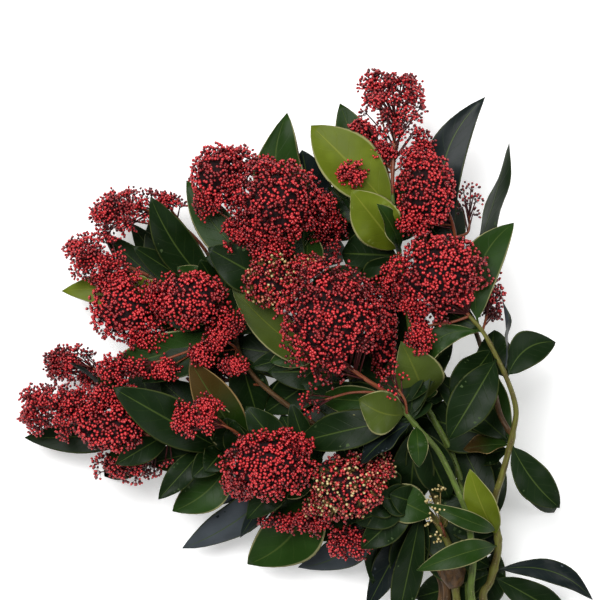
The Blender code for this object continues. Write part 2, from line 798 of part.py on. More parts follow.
def fuse(node, shapes, solver):
    """One body from the shapes of a node, by a single union."""
    base = bpy.data.objects.new(node, mesh_of(node, shapes[0]))
    bpy.context.scene.collection.objects.link(base)
    if len(shapes) > 1:
        group = bpy.data.collections.new(f"{node}_shapes")
        bpy.context.scene.collection.children.link(group)
        for number, shape in enumerate(shapes[1:]):
            group.objects.link(bpy.data.objects.new(f"{node}_{number}", mesh_of(node, shape)))
        union = base.modifiers.new("union", "BOOLEAN")
        union.operation = "UNION"
        union.operand_type = "COLLECTION"
        union.collection = group
        union.solver = solver
        fused = bpy.data.meshes.new_from_object(base.evaluated_get(bpy.context.evaluated_depsgraph_get()))
        base.modifiers.clear()
        base.data = fused
        for extra in list(group.objects):
            bpy.data.objects.remove(extra)
        bpy.data.collections.remove(group)
        keep_largest(base.data)
    return base


def material_of(node, finish):
    """A node's own material, in the plain finish of its kind."""
    colour, roughness = FINISHES[finish]
    material = bpy.data.materials.new(node)
    material.use_nodes = True
    shader = material.node_tree.nodes["Principled BSDF"]
    shader.inputs["Base Color"].default_value = (*colour, 1.0)
    shader.inputs["Roughness"].default_value = roughness
    shader.inputs["Metallic"].default_value = 0.0
    return material


def main():
    """Grow the bunch, join each node's shapes, and say what was left out."""
    for old in list(bpy.data.objects):
        bpy.data.objects.remove(old)
    bunch = Bunch()
    pieces = [piece for shoot in SHOOTS for piece in shoot.pieces]
    for shoot in SHOOTS:
        bunch.grow_line(shoot)
    for piece in pieces:
        bunch.grow_cores(piece)
    for piece in pieces:
        for leaf in piece.leaves:
            bunch.grow_leaf(piece.node, leaf)
    for piece in pieces:
        bunch.grow_buds(piece)
    for piece in pieces:
        bunch.grow_fillers(piece)
    for piece in pieces:
        body = fuse(piece.node, bunch.shapes[piece.node], "MANIFOLD")
        finish = piece.tint if piece.kind == "panicle" else piece.kind
        body.data.materials.clear()
        body.data.materials.append(material_of(piece.node, finish))
    return bunch.notes


main()
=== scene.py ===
"""The looks of a cut bunch of flowering skimmia that lies on its side under a camera looking straight down.

The bunch is grown again from the same shoots as its solids. Each shoot is one smooth line that starts as a
woody stem, carries whorls of leaves and ends in a head of small red buds on branching stalks. Places are in
steps from the middle of the photograph: x to its right, y to its top and z up from the floor.
"""

import logging
import math
import random
from collections.abc import Callable
from dataclasses import dataclass, field
from enum import Enum

import bpy
import numpy as np
from mathutils import Matrix, Vector


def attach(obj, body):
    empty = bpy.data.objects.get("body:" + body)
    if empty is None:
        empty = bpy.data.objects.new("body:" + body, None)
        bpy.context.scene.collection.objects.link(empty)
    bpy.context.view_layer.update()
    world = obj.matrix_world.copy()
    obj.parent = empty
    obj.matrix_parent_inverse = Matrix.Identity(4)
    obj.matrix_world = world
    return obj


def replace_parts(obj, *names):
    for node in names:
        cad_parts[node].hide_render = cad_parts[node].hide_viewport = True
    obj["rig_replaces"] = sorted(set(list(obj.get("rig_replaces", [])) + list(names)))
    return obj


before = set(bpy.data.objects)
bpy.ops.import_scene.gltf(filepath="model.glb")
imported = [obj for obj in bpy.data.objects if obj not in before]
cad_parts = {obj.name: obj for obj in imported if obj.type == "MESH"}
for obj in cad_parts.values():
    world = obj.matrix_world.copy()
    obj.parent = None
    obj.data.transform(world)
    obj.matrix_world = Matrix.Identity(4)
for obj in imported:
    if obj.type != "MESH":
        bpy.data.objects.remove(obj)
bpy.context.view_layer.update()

LOG = logging.getLogger("skimmia")

Array = np.ndarray
Steps = tuple[float, float, float]

STEP = 0.00085
MM = 0.001
ORIGIN_STEPS = (5.0, -93.7, 0.0)
UPRIGHT = (0.0, 0.0, 1.0)
BODY = "root"
TRIANGLES_A_PIECE = 180_000
GOLDEN_ANGLE = math.pi * (3.0 - math.sqrt(5.0))


class Kind(Enum):
    """What a stretch of a shoot is."""

    LIMB = "limb"
    LEAVES = "leaves"
    PANICLE = "panicle"


class Tone(Enum):
    """How a leaf is coloured."""

    DARK = "dark"
    MID = "mid"
    LIGHT = "light"
    OLIVE = "olive"
    # Painted sheen: bluish-grey colours stand for the lights' reflection on a dark glossy leaf.
    SLATE = "slate"
    BROWN = "brown"


class Bark(Enum):
    """How the woody part of a shoot is coloured."""

    GREEN = "green"
    OLIVE = "olive"
    BROWN = "brown"


class Tint(Enum):
    """How one spray of buds is coloured."""

    CRIMSON = "crimson"
    DEEP = "deep"
    CORAL = "coral"
    CREAM = "cream"


class Mix(Enum):
    """Which tints the sprays of a panicle are dealt from, with how often each comes up."""

    RED = ((Tint.CRIMSON, 0.74), (Tint.DEEP, 0.26))
    DIM = ((Tint.CRIMSON, 0.54), (Tint.DEEP, 0.46))
    DUSK = ((Tint.CRIMSON, 0.35), (Tint.DEEP, 0.65))
    MIXED = ((Tint.CRIMSON, 0.30), (Tint.DEEP, 0.45), (Tint.CORAL, 0.13), (Tint.CREAM, 0.12))
    GREEN = ((Tint.CREAM, 1.0),)


@dataclass(frozen=True)
class Head:
    """One head of buds: its middle and reach in steps, and how many clubs of buds its solid has.

    A dense head is covered all over, and a sparse one has few sprays of few buds.
    """

    middle: Steps
    reach: Steps
    clubs: int
    dense: bool = False
    sparse: bool = False


@dataclass(frozen=True)
class Leaf:
    """One leaf: where it leaves the twig (0 to 1), its tip in steps, its width in mm, and how it turns.

    It is rolled round its own length by degrees, and its middle stands off the straight line by steps:
    arch towards its upper face and sway to its side. It twists by degrees from foot to tip.
    """

    along: float
    tip: Steps
    width: float
    roll: float = 0.0
    arch: float = 5.0
    sway: float = 0.0
    tone: Tone = Tone.DARK
    twist: float = 0.0


@dataclass(frozen=True)
class Stretch:
    """A stretch of a shoot that ends at one of its points, and stands for one solid of the frame."""

    node: str
    kind: Kind
    last: int
    leaves: tuple[Leaf, ...] = ()
    fillers: int = 0
    extras: int = 0
    heads: tuple[Head, ...] = ()
    mix: Mix = Mix.RED


@dataclass(frozen=True)
class Shoot:
    """A line of growth, with its radii in mm at foot and tip, either cut at the foot or grown from a host."""

    name: str
    radii: tuple[float, float]
    path: tuple[Steps, ...]
    stretches: tuple[Stretch, ...]
    host: str = ""
    host_point: int = 0
    bark: Bark = Bark.OLIVE


def limb(node: str, last: int) -> Stretch:
    """A bare woody stretch."""
    return Stretch(node, Kind.LIMB, last)


def whorl(node: str, last: int, fillers: int, extras: int, *leaves: Leaf) -> Stretch:
    """A leafy stretch: its hidden leaves by rule, the extra ones that only the looks have, and its own."""
    return Stretch(node, Kind.LEAVES, last, leaves, fillers, extras)


def panicle(node: str, last: int, *heads: Head, mix: Mix = Mix.RED) -> Stretch:
    """The flowering end of a shoot."""
    return Stretch(node, Kind.PANICLE, last, heads=heads, mix=mix)


def sprig(
    node: str, host: str, host_point: int, path: tuple[Steps, ...], *heads: Head, mix: Mix = Mix.RED
) -> Shoot:
    """A panicle on its own stalk from the side of a host shoot."""
    return Shoot(node, (1.2, 1.0), path, (panicle(node, len(path), *heads, mix=mix),), host, host_point)


DARK, MID, LIGHT, OLIVE, SLATE, BROWN = Tone

# Every shoot, each after its host. The points of its line come first, and then its stretches.
SHOOTS = (
    Shoot("right", (4.3, 1.5), (
        (220, -396, 5.4), (198, -340, 26), (184, -300, 44), (192, -281, 50), (199, -245, 62),
        (194, -205, 76), (202, -175, 86), (208, -151, 92), (212, -134, 96), (215, -109, 103),
        (207, -82, 111), (195, -56, 118), (181, -31, 122), (168, -16, 124), (150, 5, 124),
    ), (
        limb("stem_right", 3),
        whorl(
            "leaves_foot_right", 5, 1, 3,
            Leaf(0.10, (296, -303, 26), 20, 0, 8, -16, SLATE, 20), Leaf(0.02, (276, -328, 8), 29, 0, 4, -2),
            Leaf(0.02, (116, -302, 10), 32, 0, 2), Leaf(0.45, (184, -320, 10), 28, 0, 2),
            Leaf(0.45, (116, -270, 92), 22, 10, 24, 0, MID),
            Leaf(0.60, (169, -168, 106), 29, -20, 10, 0, LIGHT),
            Leaf(0.66, (126, -203, 92), 16, 0, 24, 0, MID), Leaf(0.05, (122, -256, 26), 36, 0, 4),
            Leaf(0.12, (116, -226, 48), 36, 0, 0), Leaf(0.85, (136, -186, 44), 32, 0, 0),
            Leaf(0.08, (140, -302, 18), 32, 0, 4), Leaf(0.60, (150, -214, 34), 34, 0, 4),
            Leaf(0.95, (158, -136, 56), 30, 0, -4), Leaf(0.30, (172, -222, 22), 28, 0, 2, 0, SLATE),
        ),
        limb("bough_right_low", 7),
        whorl(
            "leaves_elbow", 8, 0, 0,
            Leaf(0.50, (260, -208, 74), 31, 0, 6, 5), Leaf(0.35, (163, -149, 88), 23, 50, 2, 0, BROWN),
            Leaf(0.60, (168, -98, 70), 27, 0, -8), Leaf(0.50, (258, -216, 0), 28, 0, 8),
            Leaf(0.50, (112, -114, 50), 44, 0, -4), Leaf(0.02, (176, -158, 50), 20, 0, 0),
            Leaf(0.50, (189, -66, 60), 18, 0, 0, 0, MID), Leaf(0.50, (136, -76, 62), 30, 0, 0),
        ),
        limb("bough_right", 10),
        whorl(
            "leaves_right", 13, 0, 0,
            Leaf(0.35, (147, -138, 130), 37, 0, 10), Leaf(0.03, (255, -42, 92), 31, 0, 5, -12),
            Leaf(0.02, (194, -30, 84), 30, 0, 0, -6), Leaf(0.10, (199, 12, 100), 20, 80, 4, 0, SLATE),
            Leaf(0.75, (121, -78, 108), 21, 10, 8, 20, MID), Leaf(0.80, (130, -2, 92), 26, 0, 4),
            Leaf(0.75, (132, -24, 88), 22, 0, 4, 4, MID), Leaf(0.50, (150, -95, 84), 31, 0, -4, -3),
            Leaf(0.85, (213, 77, 100), 35, 0, 6, -18, MID),
        ),
        panicle("panicle_right", 14, Head((140, 25, 132), (52, 48, 32), 7, True)),
    )),
    Shoot("top", (4.0, 1.4), (
        (186, -398, 5.1), (178, -340, 24), (170, -296, 40), (172, -250, 50), (168, -205, 58),
        (152, -155, 66), (136, -124, 72), (122, -98, 76), (116, -72, 80), (110, -30, 84), (104, 10, 88),
        (100, 40, 94), (95, 75, 99), (92, 105, 101), (93, 140, 99), (95, 180, 96),
    ), (
        limb("stem_top", 6),
        whorl(
            "leaves_middle", 8, 3, 26,
            Leaf(0.45, (100, -41, 128), 44, 10, 16, 0, OLIVE), Leaf(0.30, (143, -70, 50), 24, 0, 0),
        ),
        limb("bough_top", 11),
        whorl(
            "leaves_top", 13, 2, 8,
            Leaf(0.75, (11, 174, 94), 50, 10, 8, 0, LIGHT), Leaf(0.90, (40, 197, 70), 36, 0, -8, -5, MID),
            Leaf(0.02, (66, 10, 66), 32, 0, 2), Leaf(0.03, (42, 47, 62), 44, 0, 0),
            Leaf(0.30, (28, 113, 72), 27, 0, 0), Leaf(0.02, (98, -46, 62), 32, 0, 2),
            Leaf(0.10, (51, 109, 126), 42, 0, 8, 0, LIGHT), Leaf(0.05, (76, 95, 136), 24, 45, 6, 0, MID),
        ),
        panicle(
            "panicle_top", 15,
            Head((92, 190, 97), (37, 42, 30), 12), Head((62, 165, 90), (20, 18, 14), 5),
            Head((122, 150, 94), (16, 22, 14), 5),
        ),
    ), bark=Bark.GREEN),
    Shoot("front", (3.9, 1.5), (
        (200, -410, 16), (184, -345, 40), (172, -296, 58), (173, -262, 72), (168, -220, 88),
        (155, -185, 100), (137, -150, 110), (118, -128, 117), (106, -114, 121), (93, -97, 126),
        (60, -75, 134), (38, -56, 140), (28, -35, 144),
    ), (
        limb("stem_front", 7),
        whorl(
            "leaves_front", 9, 1, 16,
            Leaf(0.50, (58, -98, 134), 38, 0, 10, -6, OLIVE), Leaf(0.35, (-4, -143, 86), 34, 10, 10),
            Leaf(0.20, (60, -163, 112), 25, 40, 6, 0, SLATE), Leaf(0.40, (2, -92, 88), 36, 0, -4),
            Leaf(0.05, (118, -166, 126), 18, 0, 16, 0, MID), Leaf(0.05, (150, -200, 58), 34, 0, 0),
            Leaf(0.30, (96, -172, 62), 32, 0, 0), Leaf(0.02, (128, -190, 50), 30, 0, 0),
            Leaf(0.05, (110, -208, 46), 38, 0, 0),
        ),
        panicle("panicle_front", 12, Head((30, -18, 150), (58, 62, 36), 8, True), mix=Mix.DIM),
    ), bark=Bark.GREEN),
    Shoot("upper_left", (4.2, 1.6), (
        (154, -394, 5.3), (156, -345, 22), (158, -296, 34), (155, -255, 42), (130, -185, 54),
        (90, -125, 66), (58, -86, 74), (20, -38, 80), (-4, -6, 80), (-14, 10, 80), (-27, 38, 84),
        (-30, 62, 96), (-28, 85, 106),
    ), (
        limb("stem_upper_left", 6),
        whorl(
            "leaves_inner", 7, 2, 26,
            Leaf(0.20, (-69, 16, 92), 32, 0, 8, -10, OLIVE), Leaf(0.30, (-32, -72, 84), 32, 0, 4),
            Leaf(0.50, (-36, -114, 50), 34, 0, 0), Leaf(0.45, (-72, -46, 56), 42, 0, 0),
            Leaf(0.15, (-40, -97, 48), 30, 0, 0),
        ),
        limb("bough_upper_left", 8),
        whorl(
            "leaves_upper_left", 10, 3, 14,
            Leaf(0.60, (-114, 120, 62), 34, 0, 2, -11, MID), Leaf(0.30, (-92, 52, 94), 40, 0, 4),
        ),
        panicle("panicle_upper_left", 12, Head((-22, 96, 114), (52, 48, 32), 7, True), mix=Mix.DIM),
    )),
    Shoot("left", (4.1, 1.5), (
        (136, -402, 5.2), (142, -345, 26), (148, -296, 42), (140, -268, 44), (105, -205, 50),
        (55, -155, 56), (10, -122, 62), (-38, -85, 68), (-60, -55, 73), (-68, -28, 79), (-80, -8, 84),
        (-93, -2, 98), (-104, 2, 110),
    ), (
        limb("stem_left", 8),
        whorl(
            "leaves_left", 10, 2, 14,
            Leaf(0.45, (-198, -72, 72), 34, 0, 8, 0, MID), Leaf(0.30, (-158, -82, 84), 30, 20, 6),
            Leaf(0.05, (-42, -120, 48), 34, 0, 0),
        ),
        panicle("panicle_left_inner", 12, Head((-106, 2, 114), (40, 32, 23), 5, True)),
    ), bark=Bark.BROWN),
    Shoot("lower_left", (4.0, 1.5), (
        (118, -388, 5.1), (132, -345, 16), (144, -296, 26), (134, -270, 28), (100, -232, 32),
        (50, -200, 38), (0, -178, 46), (-45, -160, 56), (-75, -152, 64), (-105, -144, 70), (-140, -136, 76),
        (-178, -132, 80),
    ), (
        limb("stem_lower_left", 7),
        whorl(
            "leaves_lower_left", 9, 0, 14,
            Leaf(0.50, (-186, -87, 112), 40, 0, 12), Leaf(0.05, (-110, -60, 100), 36, 0, 8, 0, BROWN),
            Leaf(0.15, (-141, -80, 52), 42, 0, 0), Leaf(0.35, (-128, -212, 62), 35, 0, 6, -9, MID),
        ),
        panicle(
            "panicle_lower_left", 11,
            Head((-188, -128, 84), (50, 29, 26), 6, True), Head((-166, -166, 60), (50, 22, 18), 8),
            mix=Mix.DIM,
        ),
    ), bark=Bark.BROWN),
    Shoot("lower", (4.2, 1.5), (
        (172, -408, 15), (164, -345, 36), (157, -296, 52), (155, -270, 54), (146, -238, 58),
        (126, -210, 63), (100, -197, 67), (66, -186, 70), (32, -173, 73), (5, -165, 75), (-15, -162, 82),
        (-28, -163, 98),
    ), (
        limb("stem_lower", 5),
        whorl(
            "leaves_lower", 7, 1, 18,
            Leaf(0.02, (68, -312, 12), 26, 20, 4, 0, SLATE), Leaf(0.04, (98, -328, 14), 26, 0, 14),
            Leaf(0.85, (-2, -271, 14), 33, 180, 4, 22, SLATE),
            Leaf(0.80, (131, -216, 76), 34, 0, 4, 0, MID), Leaf(0.70, (73, -287, 26), 26, 0, -8),
            Leaf(0.20, (66, -262, 0), 28, 0, 6), Leaf(0.90, (46, -136, 64), 32, 0, 0),
            Leaf(0.85, (12, -242, 30), 32, 0, 0), Leaf(0.04, (100, -292, 30), 34, 0, 0),
        ),
        limb("bough_lower", 8),
        whorl(
            "leaves_lower_front", 10, 1, 10,
            Leaf(0.70, (-122, -211, 44), 22, 150, 4, 0, SLATE),
            Leaf(0.80, (-119, -251, 28), 33, 160, 4, 10, SLATE),
            Leaf(0.75, (-60, -239, 56), 18, 30, 6, 0, SLATE),
            Leaf(0.30, (-53, -267, 28), 52, 0, 6, -19, MID), Leaf(0.30, (6, -90, 52), 36, 0, 0),
        ),
        panicle("panicle_lower_front", 11, Head((-33, -163, 116), (52, 39, 30), 7, True)),
    )),
    Shoot("inner", (2.6, 1.3), (
        (207, -128, 90), (199, -112, 88), (191, -79, 88), (181, -48, 88), (168, -10, 86), (162, 10, 86),
        (158, 30, 87), (155, 62, 94), (148, 86, 106), (138, 100, 114),
    ), (
        limb("bough_inner", 6),
        whorl(
            "leaves_upper_right", 8, 2, 2,
            Leaf(0.95, (185, 203, 82), 34, 0, -4, -27, SLATE, 12), Leaf(0.02, (209, 157, 86), 33, 62, 4),
            Leaf(0.30, (142, 116, 0), 30, 0, 8),
        ),
        panicle("panicle_upper_right", 10, Head((126, 108, 116), (33, 44, 26), 7, True)),
    ), "right", 8, Bark.BROWN),
    Shoot("back", (2.3, 1.4), (
        (6, 12, 70), (12, 40, 62), (20, 82, 60),
    ), (
        whorl(
            "leaves_back", 3, 3, 14,
            Leaf(0.95, (-13, 187, 84), 46, 20, 6, -31, MID), Leaf(0.90, (2, 150, 80), 38, 10, -2, 0, SLATE),
            Leaf(0.50, (-12, 136, 0), 32, 0, 8),
        ),
    ), "upper_left", 8),
    Shoot("far_left", (2.2, 1.2), (
        (-125, -132, 60), (-148, -124, 56), (-176, -119, 56), (-205, -114, 60), (-235, -109, 64),
    ), (
        whorl(
            "leaves_far_left", 3, 2, 6,
            Leaf(0.55, (-278, -139, 34), 30, 0, -6, -4), Leaf(0.75, (-232, -62, 78), 20, 80, 2, 0, SLATE),
            Leaf(0.20, (-184, -126, 0), 28, 0, 6),
        ),
        panicle("panicle_far_left", 5, Head((-238, -112, 66), (46, 32, 24), 11)),
    ), "lower_left", 9, Bark.BROWN),
    Shoot("outer_left", (2.2, 1.2), (
        (-66, -58, 56), (-95, -24, 50), (-125, 4, 50), (-152, 24, 53), (-185, 38, 58), (-203, 42, 64),
    ), (
        whorl(
            "leaves_outer_left", 4, 2, 6,
            Leaf(0.60, (-240, 9, 46), 33, 0, 4, 12, LIGHT), Leaf(0.60, (-200, 68, 40), 24, 0, -4),
            Leaf(0.50, (-172, 78, 0), 28, 0, 6),
        ),
        panicle("panicle_outer_left", 6, Head((-202, 42, 66), (35, 28, 24), 10)),
    ), "left", 7, Bark.BROWN),
    Shoot("far_upper_left", (2.0, 1.1), (
        (-70, -20, 54), (-84, 16, 50), (-94, 48, 52), (-118, 74, 56), (-146, 88, 60), (-168, 92, 64),
    ), (
        whorl(
            "leaves_far_upper_left", 3, 0, 8,
            Leaf(0.60, (-149, 103, 92), 34, 0, 0, -8), Leaf(0.50, (-168, 54, 68), 24, 0, -2),
            Leaf(0.75, (-140, 50, 66), 22, 0, 0, 0, OLIVE),
        ),
        panicle(
            "panicle_far_upper_left", 6,
            Head((-170, 90, 66), (43, 26, 22), 10), Head((-134, 96, 60), (18, 18, 12), 4), mix=Mix.DIM,
        ),
    ), "left", 8, Bark.BROWN),
    sprig("sprig_right_low", "right", 13, ((150, -22, 122), (130, -25, 124), (120, -33, 127)),
          Head((118, -37, 128), (16, 20, 13), 6)),
    sprig("sprig_right_edge", "right", 12, ((184, -22, 110), (188, -5, 100)),
          Head((190, 4, 96), (16, 30, 15), 7)),
    sprig("sprig_far_right", "inner", 8, ((168, 68, 86), (169, 84, 84)),
          Head((169, 101, 84), (15, 18, 12), 8, sparse=True), mix=Mix.DUSK),
    sprig("panicle_top_left", "upper_left", 10, ((-48, 66, 90), (-68, 98, 91), (-80, 122, 92)),
          Head((-84, 126, 94), (29, 34, 25), 5, True), mix=Mix.DIM),
    sprig("sprig_back", "back", 2, ((20, 52, 74), (26, 64, 82)),
          Head((28, 70, 86), (20, 30, 18), 7), mix=Mix.DUSK),
    sprig("panicle_middle", "upper_left", 9, ((-18, 12, 94), (-24, 16, 106)),
          Head((-27, 18, 114), (34, 31, 22), 4, True), mix=Mix.MIXED),
    sprig("panicle_inner_right", "top", 8, ((102, -60, 90), (90, -45, 98), (84, -32, 102)),
          Head((82, -32, 103), (19, 58, 20), 4, True), mix=Mix.DUSK),
    sprig("panicle_left_outer", "left", 10, ((-100, -14, 80), (-130, -14, 80), (-160, -12, 84)),
          Head((-176, -10, 86), (40, 36, 25), 6, True)),
    sprig("sprig_left", "left", 8, ((-66, -46, 88), (-76, -40, 98), (-80, -38, 104)),
          Head((-82, -38, 108), (19, 14, 10), 5), Head((-66, -66, 94), (16, 10, 9), 4)),
    sprig("sprig_edge_left", "far_left", 2, ((-165, -100, 50), (-190, -78, 50), (-215, -66, 50)),
          Head((-232, -62, 50), (25, 22, 18), 8), mix=Mix.DUSK),
    sprig("sprig_over_left", "left", 9, ((-90, -42, 90), (-125, -56, 95), (-158, -66, 97)),
          Head((-180, -68, 98), (29, 16, 12), 8), Head((-134, -70, 95), (18, 13, 9), 5)),
    sprig("sprig_front_left", "lower_left", 7, ((-52, -145, 78), (-66, -130, 100), (-90, -120, 114)),
          Head((-107, -118, 120), (29, 20, 13), 8)),
    sprig("panicle_lower_middle", "lower", 7, ((62, -187, 82), (54, -187, 92)),
          Head((47, -187, 104), (41, 38, 22), 5, True), mix=Mix.MIXED),
    sprig("sprig_low", "lower", 6, ((88, -218, 70), (70, -234, 68)),
          Head((50, -243, 68), (29, 20, 15), 7), Head((-10, -223, 72), (38, 12, 9), 5)),
    sprig("sprig_green", "lower", 4, ((144, -232, 74), (140, -222, 86)),
          Head((138, -212, 92), (17, 30, 10), 7, sparse=True), mix=Mix.GREEN),
    sprig("sprig_middle_low", "front", 9, ((76, -92, 124), (50, -92, 121), (25, -99, 117)),
          Head((8, -103, 114), (12, 15, 9), 6, sparse=True)),
    sprig("sprig_front", "front", 8, ((104, -100, 136), (97, -88, 143)),
          Head((90, -76, 146), (13, 20, 8), 6, sparse=True)),
    sprig("panicle_under_left", "left", 7, ((-58, -84, 52), (-82, -78, 40)),
          Head((-98, -72, 30), (34, 28, 22), 8), mix=Mix.DUSK),
)

# The middles of the solids' heads from above. Extra leaves stay under or between them.
HEAD_SPOTS = np.array([h.middle[:2] for shoot in SHOOTS for s in shoot.stretches for h in s.heads])
# Where the ground shows between leaves in the photograph. No leaf that is grown by rule comes near.
OPEN_SPOTS = np.array([(160, -56), (152, -76), (177, 95), (177, 72), (206, 90), (4, -213), (-22, -221)])
# The knob of old wood low on the lower stem.
BURL = Head((154, -275, 54), (13, 16, 12), 0)
# Small heads beside a panicle's main ones, which only the looks have.
MORE_HEADS = {
    "panicle_top": (
        Head((52, 124, 116), (19, 15, 12), 5), Head((82, 148, 100), (18, 14, 12), 4),
        Head((76, 212, 92), (22, 22, 14), 6), Head((108, 208, 92), (20, 22, 14), 5),
    ),
    "panicle_upper_left": (
        Head((-62, 104, 104), (26, 26, 20), 6), Head((-62, 66, 100), (22, 22, 16), 6),
        Head((-30, 50, 108), (26, 16, 16), 6), Head((24, 88, 98), (18, 26, 16), 5),
    ),
    "panicle_top_left": (
        Head((-92, 96, 88), (18, 20, 14), 4), Head((-62, 138, 92), (26, 20, 14), 6),
        Head((-36, 134, 98), (18, 12, 12), 4),
    ),
    "panicle_far_upper_left": (Head((-190, 84, 62), (26, 26, 18), 7),),
    "sprig_edge_left": (Head((-246, -66, 48), (14, 20, 12), 4), Head((-212, -80, 52), (14, 10, 10), 3)),
    "panicle_middle": (Head((8, 36, 118), (20, 12, 14), 4),),
    "panicle_inner_right": (Head((62, -6, 120), (24, 30, 22), 6),),
    "panicle_right": (Head((96, 20, 118), (18, 30, 16), 6), Head((120, -8, 122), (26, 18, 14), 5)),
    "panicle_upper_right": (Head((116, 76, 120), (26, 14, 14), 5), Head((112, 140, 108), (16, 16, 12), 4)),
    "panicle_left_inner": (Head((-70, -24, 108), (18, 18, 14), 4), Head((-138, 6, 100), (18, 24, 14), 5)),
    "panicle_left_outer": (Head((-152, -38, 82), (26, 16, 14), 6), Head((-140, -4, 92), (20, 26, 16), 5)),
    "panicle_lower_left": (Head((-224, -104, 82), (30, 22, 16), 7), Head((-186, -98, 92), (34, 18, 16), 7)),
    "panicle_far_left": (Head((-262, -100, 60), (24, 18, 14), 6), Head((-268, -118, 54), (18, 20, 12), 5)),
    "panicle_outer_left": (Head((-184, 22, 70), (26, 20, 14), 6), Head((-220, 44, 60), (20, 28, 16), 6)),
    "sprig_front_left": (Head((-92, -108, 118), (16, 18, 10), 4),),
    "panicle_lower_front": (Head((-6, -144, 116), (22, 18, 14), 5), Head((-60, -184, 96), (22, 18, 14), 5)),
    "panicle_lower_middle": (Head((80, -168, 104), (18, 22, 14), 5), Head((22, -206, 92), (24, 18, 14), 5)),
    "sprig_low": (Head((14, -222, 78), (26, 16, 12), 5),),
    "sprig_left": (Head((-98, -54, 104), (18, 14, 10), 4),),
}


def place(steps: Array | Steps) -> Array:
    """The point in metres of a place in steps."""
    return (np.asarray(steps, float) - ORIGIN_STEPS) * STEP


def units(vectors: Array) -> Array:
    """The vectors, each at length one."""
    return vectors / np.linalg.norm(vectors, axis=-1, keepdims=True)


def across(directions: Array, wanted: Array | Steps) -> Array:
    """What is left of a wanted vector square to each direction, at length one.

    Args:
        directions: One unit vector, or one in each row.
        wanted: One vector, or one in each row.

    Returns:
        wanted - d (d . wanted), made a unit. Where it almost vanishes another vector takes its place.
    """
    square, spare = (
        vector - directions * np.sum(directions * vector, axis=-1, keepdims=True)
        for vector in (np.asarray(wanted, float), np.array([0.3, 0.9, 0.1]))
    )
    vanishes = np.linalg.norm(square, axis=-1, keepdims=True) < 0.05
    return units(np.where(vanishes, spare, square))


def square_pair(directions: Array, wanted: Steps) -> tuple[Array, Array]:
    """Two directions square to each given one and to each other, the first as near a wanted one as can be."""
    side = across(directions, wanted)
    return side, np.cross(directions, side)


def ease(value: Array, start: float, end: float) -> Array:
    """A smooth rise from 0 at start to 1 at end: 3t^2 - 2t^3 of the clipped share t."""
    share = np.clip((value - start) / (end - start), 0.0, 1.0)
    return share * share * (3.0 - 2.0 * share)


def turns(count: int) -> Array:
    """Evenly spaced angles round a whole turn."""
    return 2 * math.pi * np.arange(count) / count


def wheel(side: Array, other: Array, turn: Array) -> Array:
    """The direction at each angle from one side towards another: cos(turn) side + sin(turn) other."""
    return side * np.cos(turn)[..., None] + other * np.sin(turn)[..., None]


def keep_above(points: Array, lowest: float = 0.0) -> Array:
    """The points, with none lower than a height."""
    return np.concatenate([points[..., :2], np.maximum(points[..., 2:], lowest)], axis=-1)


class GrowthLine:
    """A smooth curve through the points of a shoot, read by the length walked along it.

    Between two points p and q it is (2t^3 - 3t^2 + 1) p + (t^3 - 2t^2 + t) m + (3t^2 - 2t^3) q
    + (t^3 - t^2) n, where m and n are half the chords between the neighbours of p and of q.
    """

    SUBDIVISIONS = 12
    TANGENT_SHARE = 0.002

    def __init__(self, knots: Array) -> None:
        """Lay the curve.

        Args:
            knots: The points that it goes through, in metres.
        """
        before = np.vstack([2 * knots[0] - knots[1], knots[:-1]])
        after = np.vstack([knots[1:], 2 * knots[-1] - knots[-2]])
        slopes = ((after - before) / 2)[:, None, :]
        t = np.linspace(0, 1, self.SUBDIVISIONS, endpoint=False)[None, :, None]
        start, end = knots[:-1, None, :], knots[1:, None, :]
        stretches = (
            (2 * t**3 - 3 * t**2 + 1) * start
            + (t**3 - 2 * t**2 + t) * slopes[:-1]
            + (3 * t**2 - 2 * t**3) * end
            + (t**3 - t**2) * slopes[1:]
        )
        self.points = np.vstack([stretches.reshape(-1, 3), knots[-1:]])
        steps = np.linalg.norm(np.diff(self.points, axis=0), axis=1)
        self.walked = np.concatenate([[0.0], np.cumsum(steps)])
        self.length = float(self.walked[-1])

    def at(self, distance: Array | float) -> Array:
        """The points at one or many distances."""
        return np.stack([np.interp(distance, self.walked, self.points[:, i]) for i in range(3)], axis=-1)

    def distance_of(self, knot: int) -> float:
        """How far along the line a knot is."""
        return float(self.walked[knot * self.SUBDIVISIONS])

    def tangent(self, distance: Array | float) -> Array:
        """The direction of growth.

        Args:
            distance: One or many distances along the line.

        Returns:
            The unit vector from just behind each place to just ahead of it.
        """
        reach = self.length * self.TANGENT_SHARE
        ahead = self.at(np.minimum(np.asarray(distance) + reach, self.length))
        behind = self.at(np.maximum(np.asarray(distance) - reach, 0.0))
        return units(ahead - behind)


@dataclass
class Skin:
    """A surface of triangles with a place on its own map for each corner of each triangle."""

    corners: Array
    triangles: Array
    uv: Array


EMPTY_SKIN = Skin(np.zeros((0, 3)), np.zeros((0, 3), int), np.zeros((0, 3, 2)))


def cells(around: Array, along: Array) -> tuple[Array, Array]:
    """The triangles between rings of corners, two to each cell of the grid.

    Args:
        around: The map's first coordinate at each corner of a ring and once more where it closes.
        along: The map's second coordinate at each ring.

    Returns:
        The corners of each triangle by number, and their places on the map.
    """
    sides = len(around) - 1
    i, j = np.meshgrid(np.arange(len(along) - 1), np.arange(sides), indexing="ij")
    k = (j + 1) % sides
    a, b, c, d = i * sides + j, i * sides + k, (i + 1) * sides + k, (i + 1) * sides + j
    u0, u1, v0, v1 = around[j], around[j + 1], along[i], along[i + 1]
    p, q, r, s = (np.stack(spot, axis=-1) for spot in ((u0, v0), (u1, v0), (u1, v1), (u0, v1)))
    triangles = np.stack([a, b, c, a, c, d], axis=-1).reshape(-1, 3)
    return triangles, np.stack([p, q, r, p, r, s], axis=-2).reshape(-1, 3, 2)


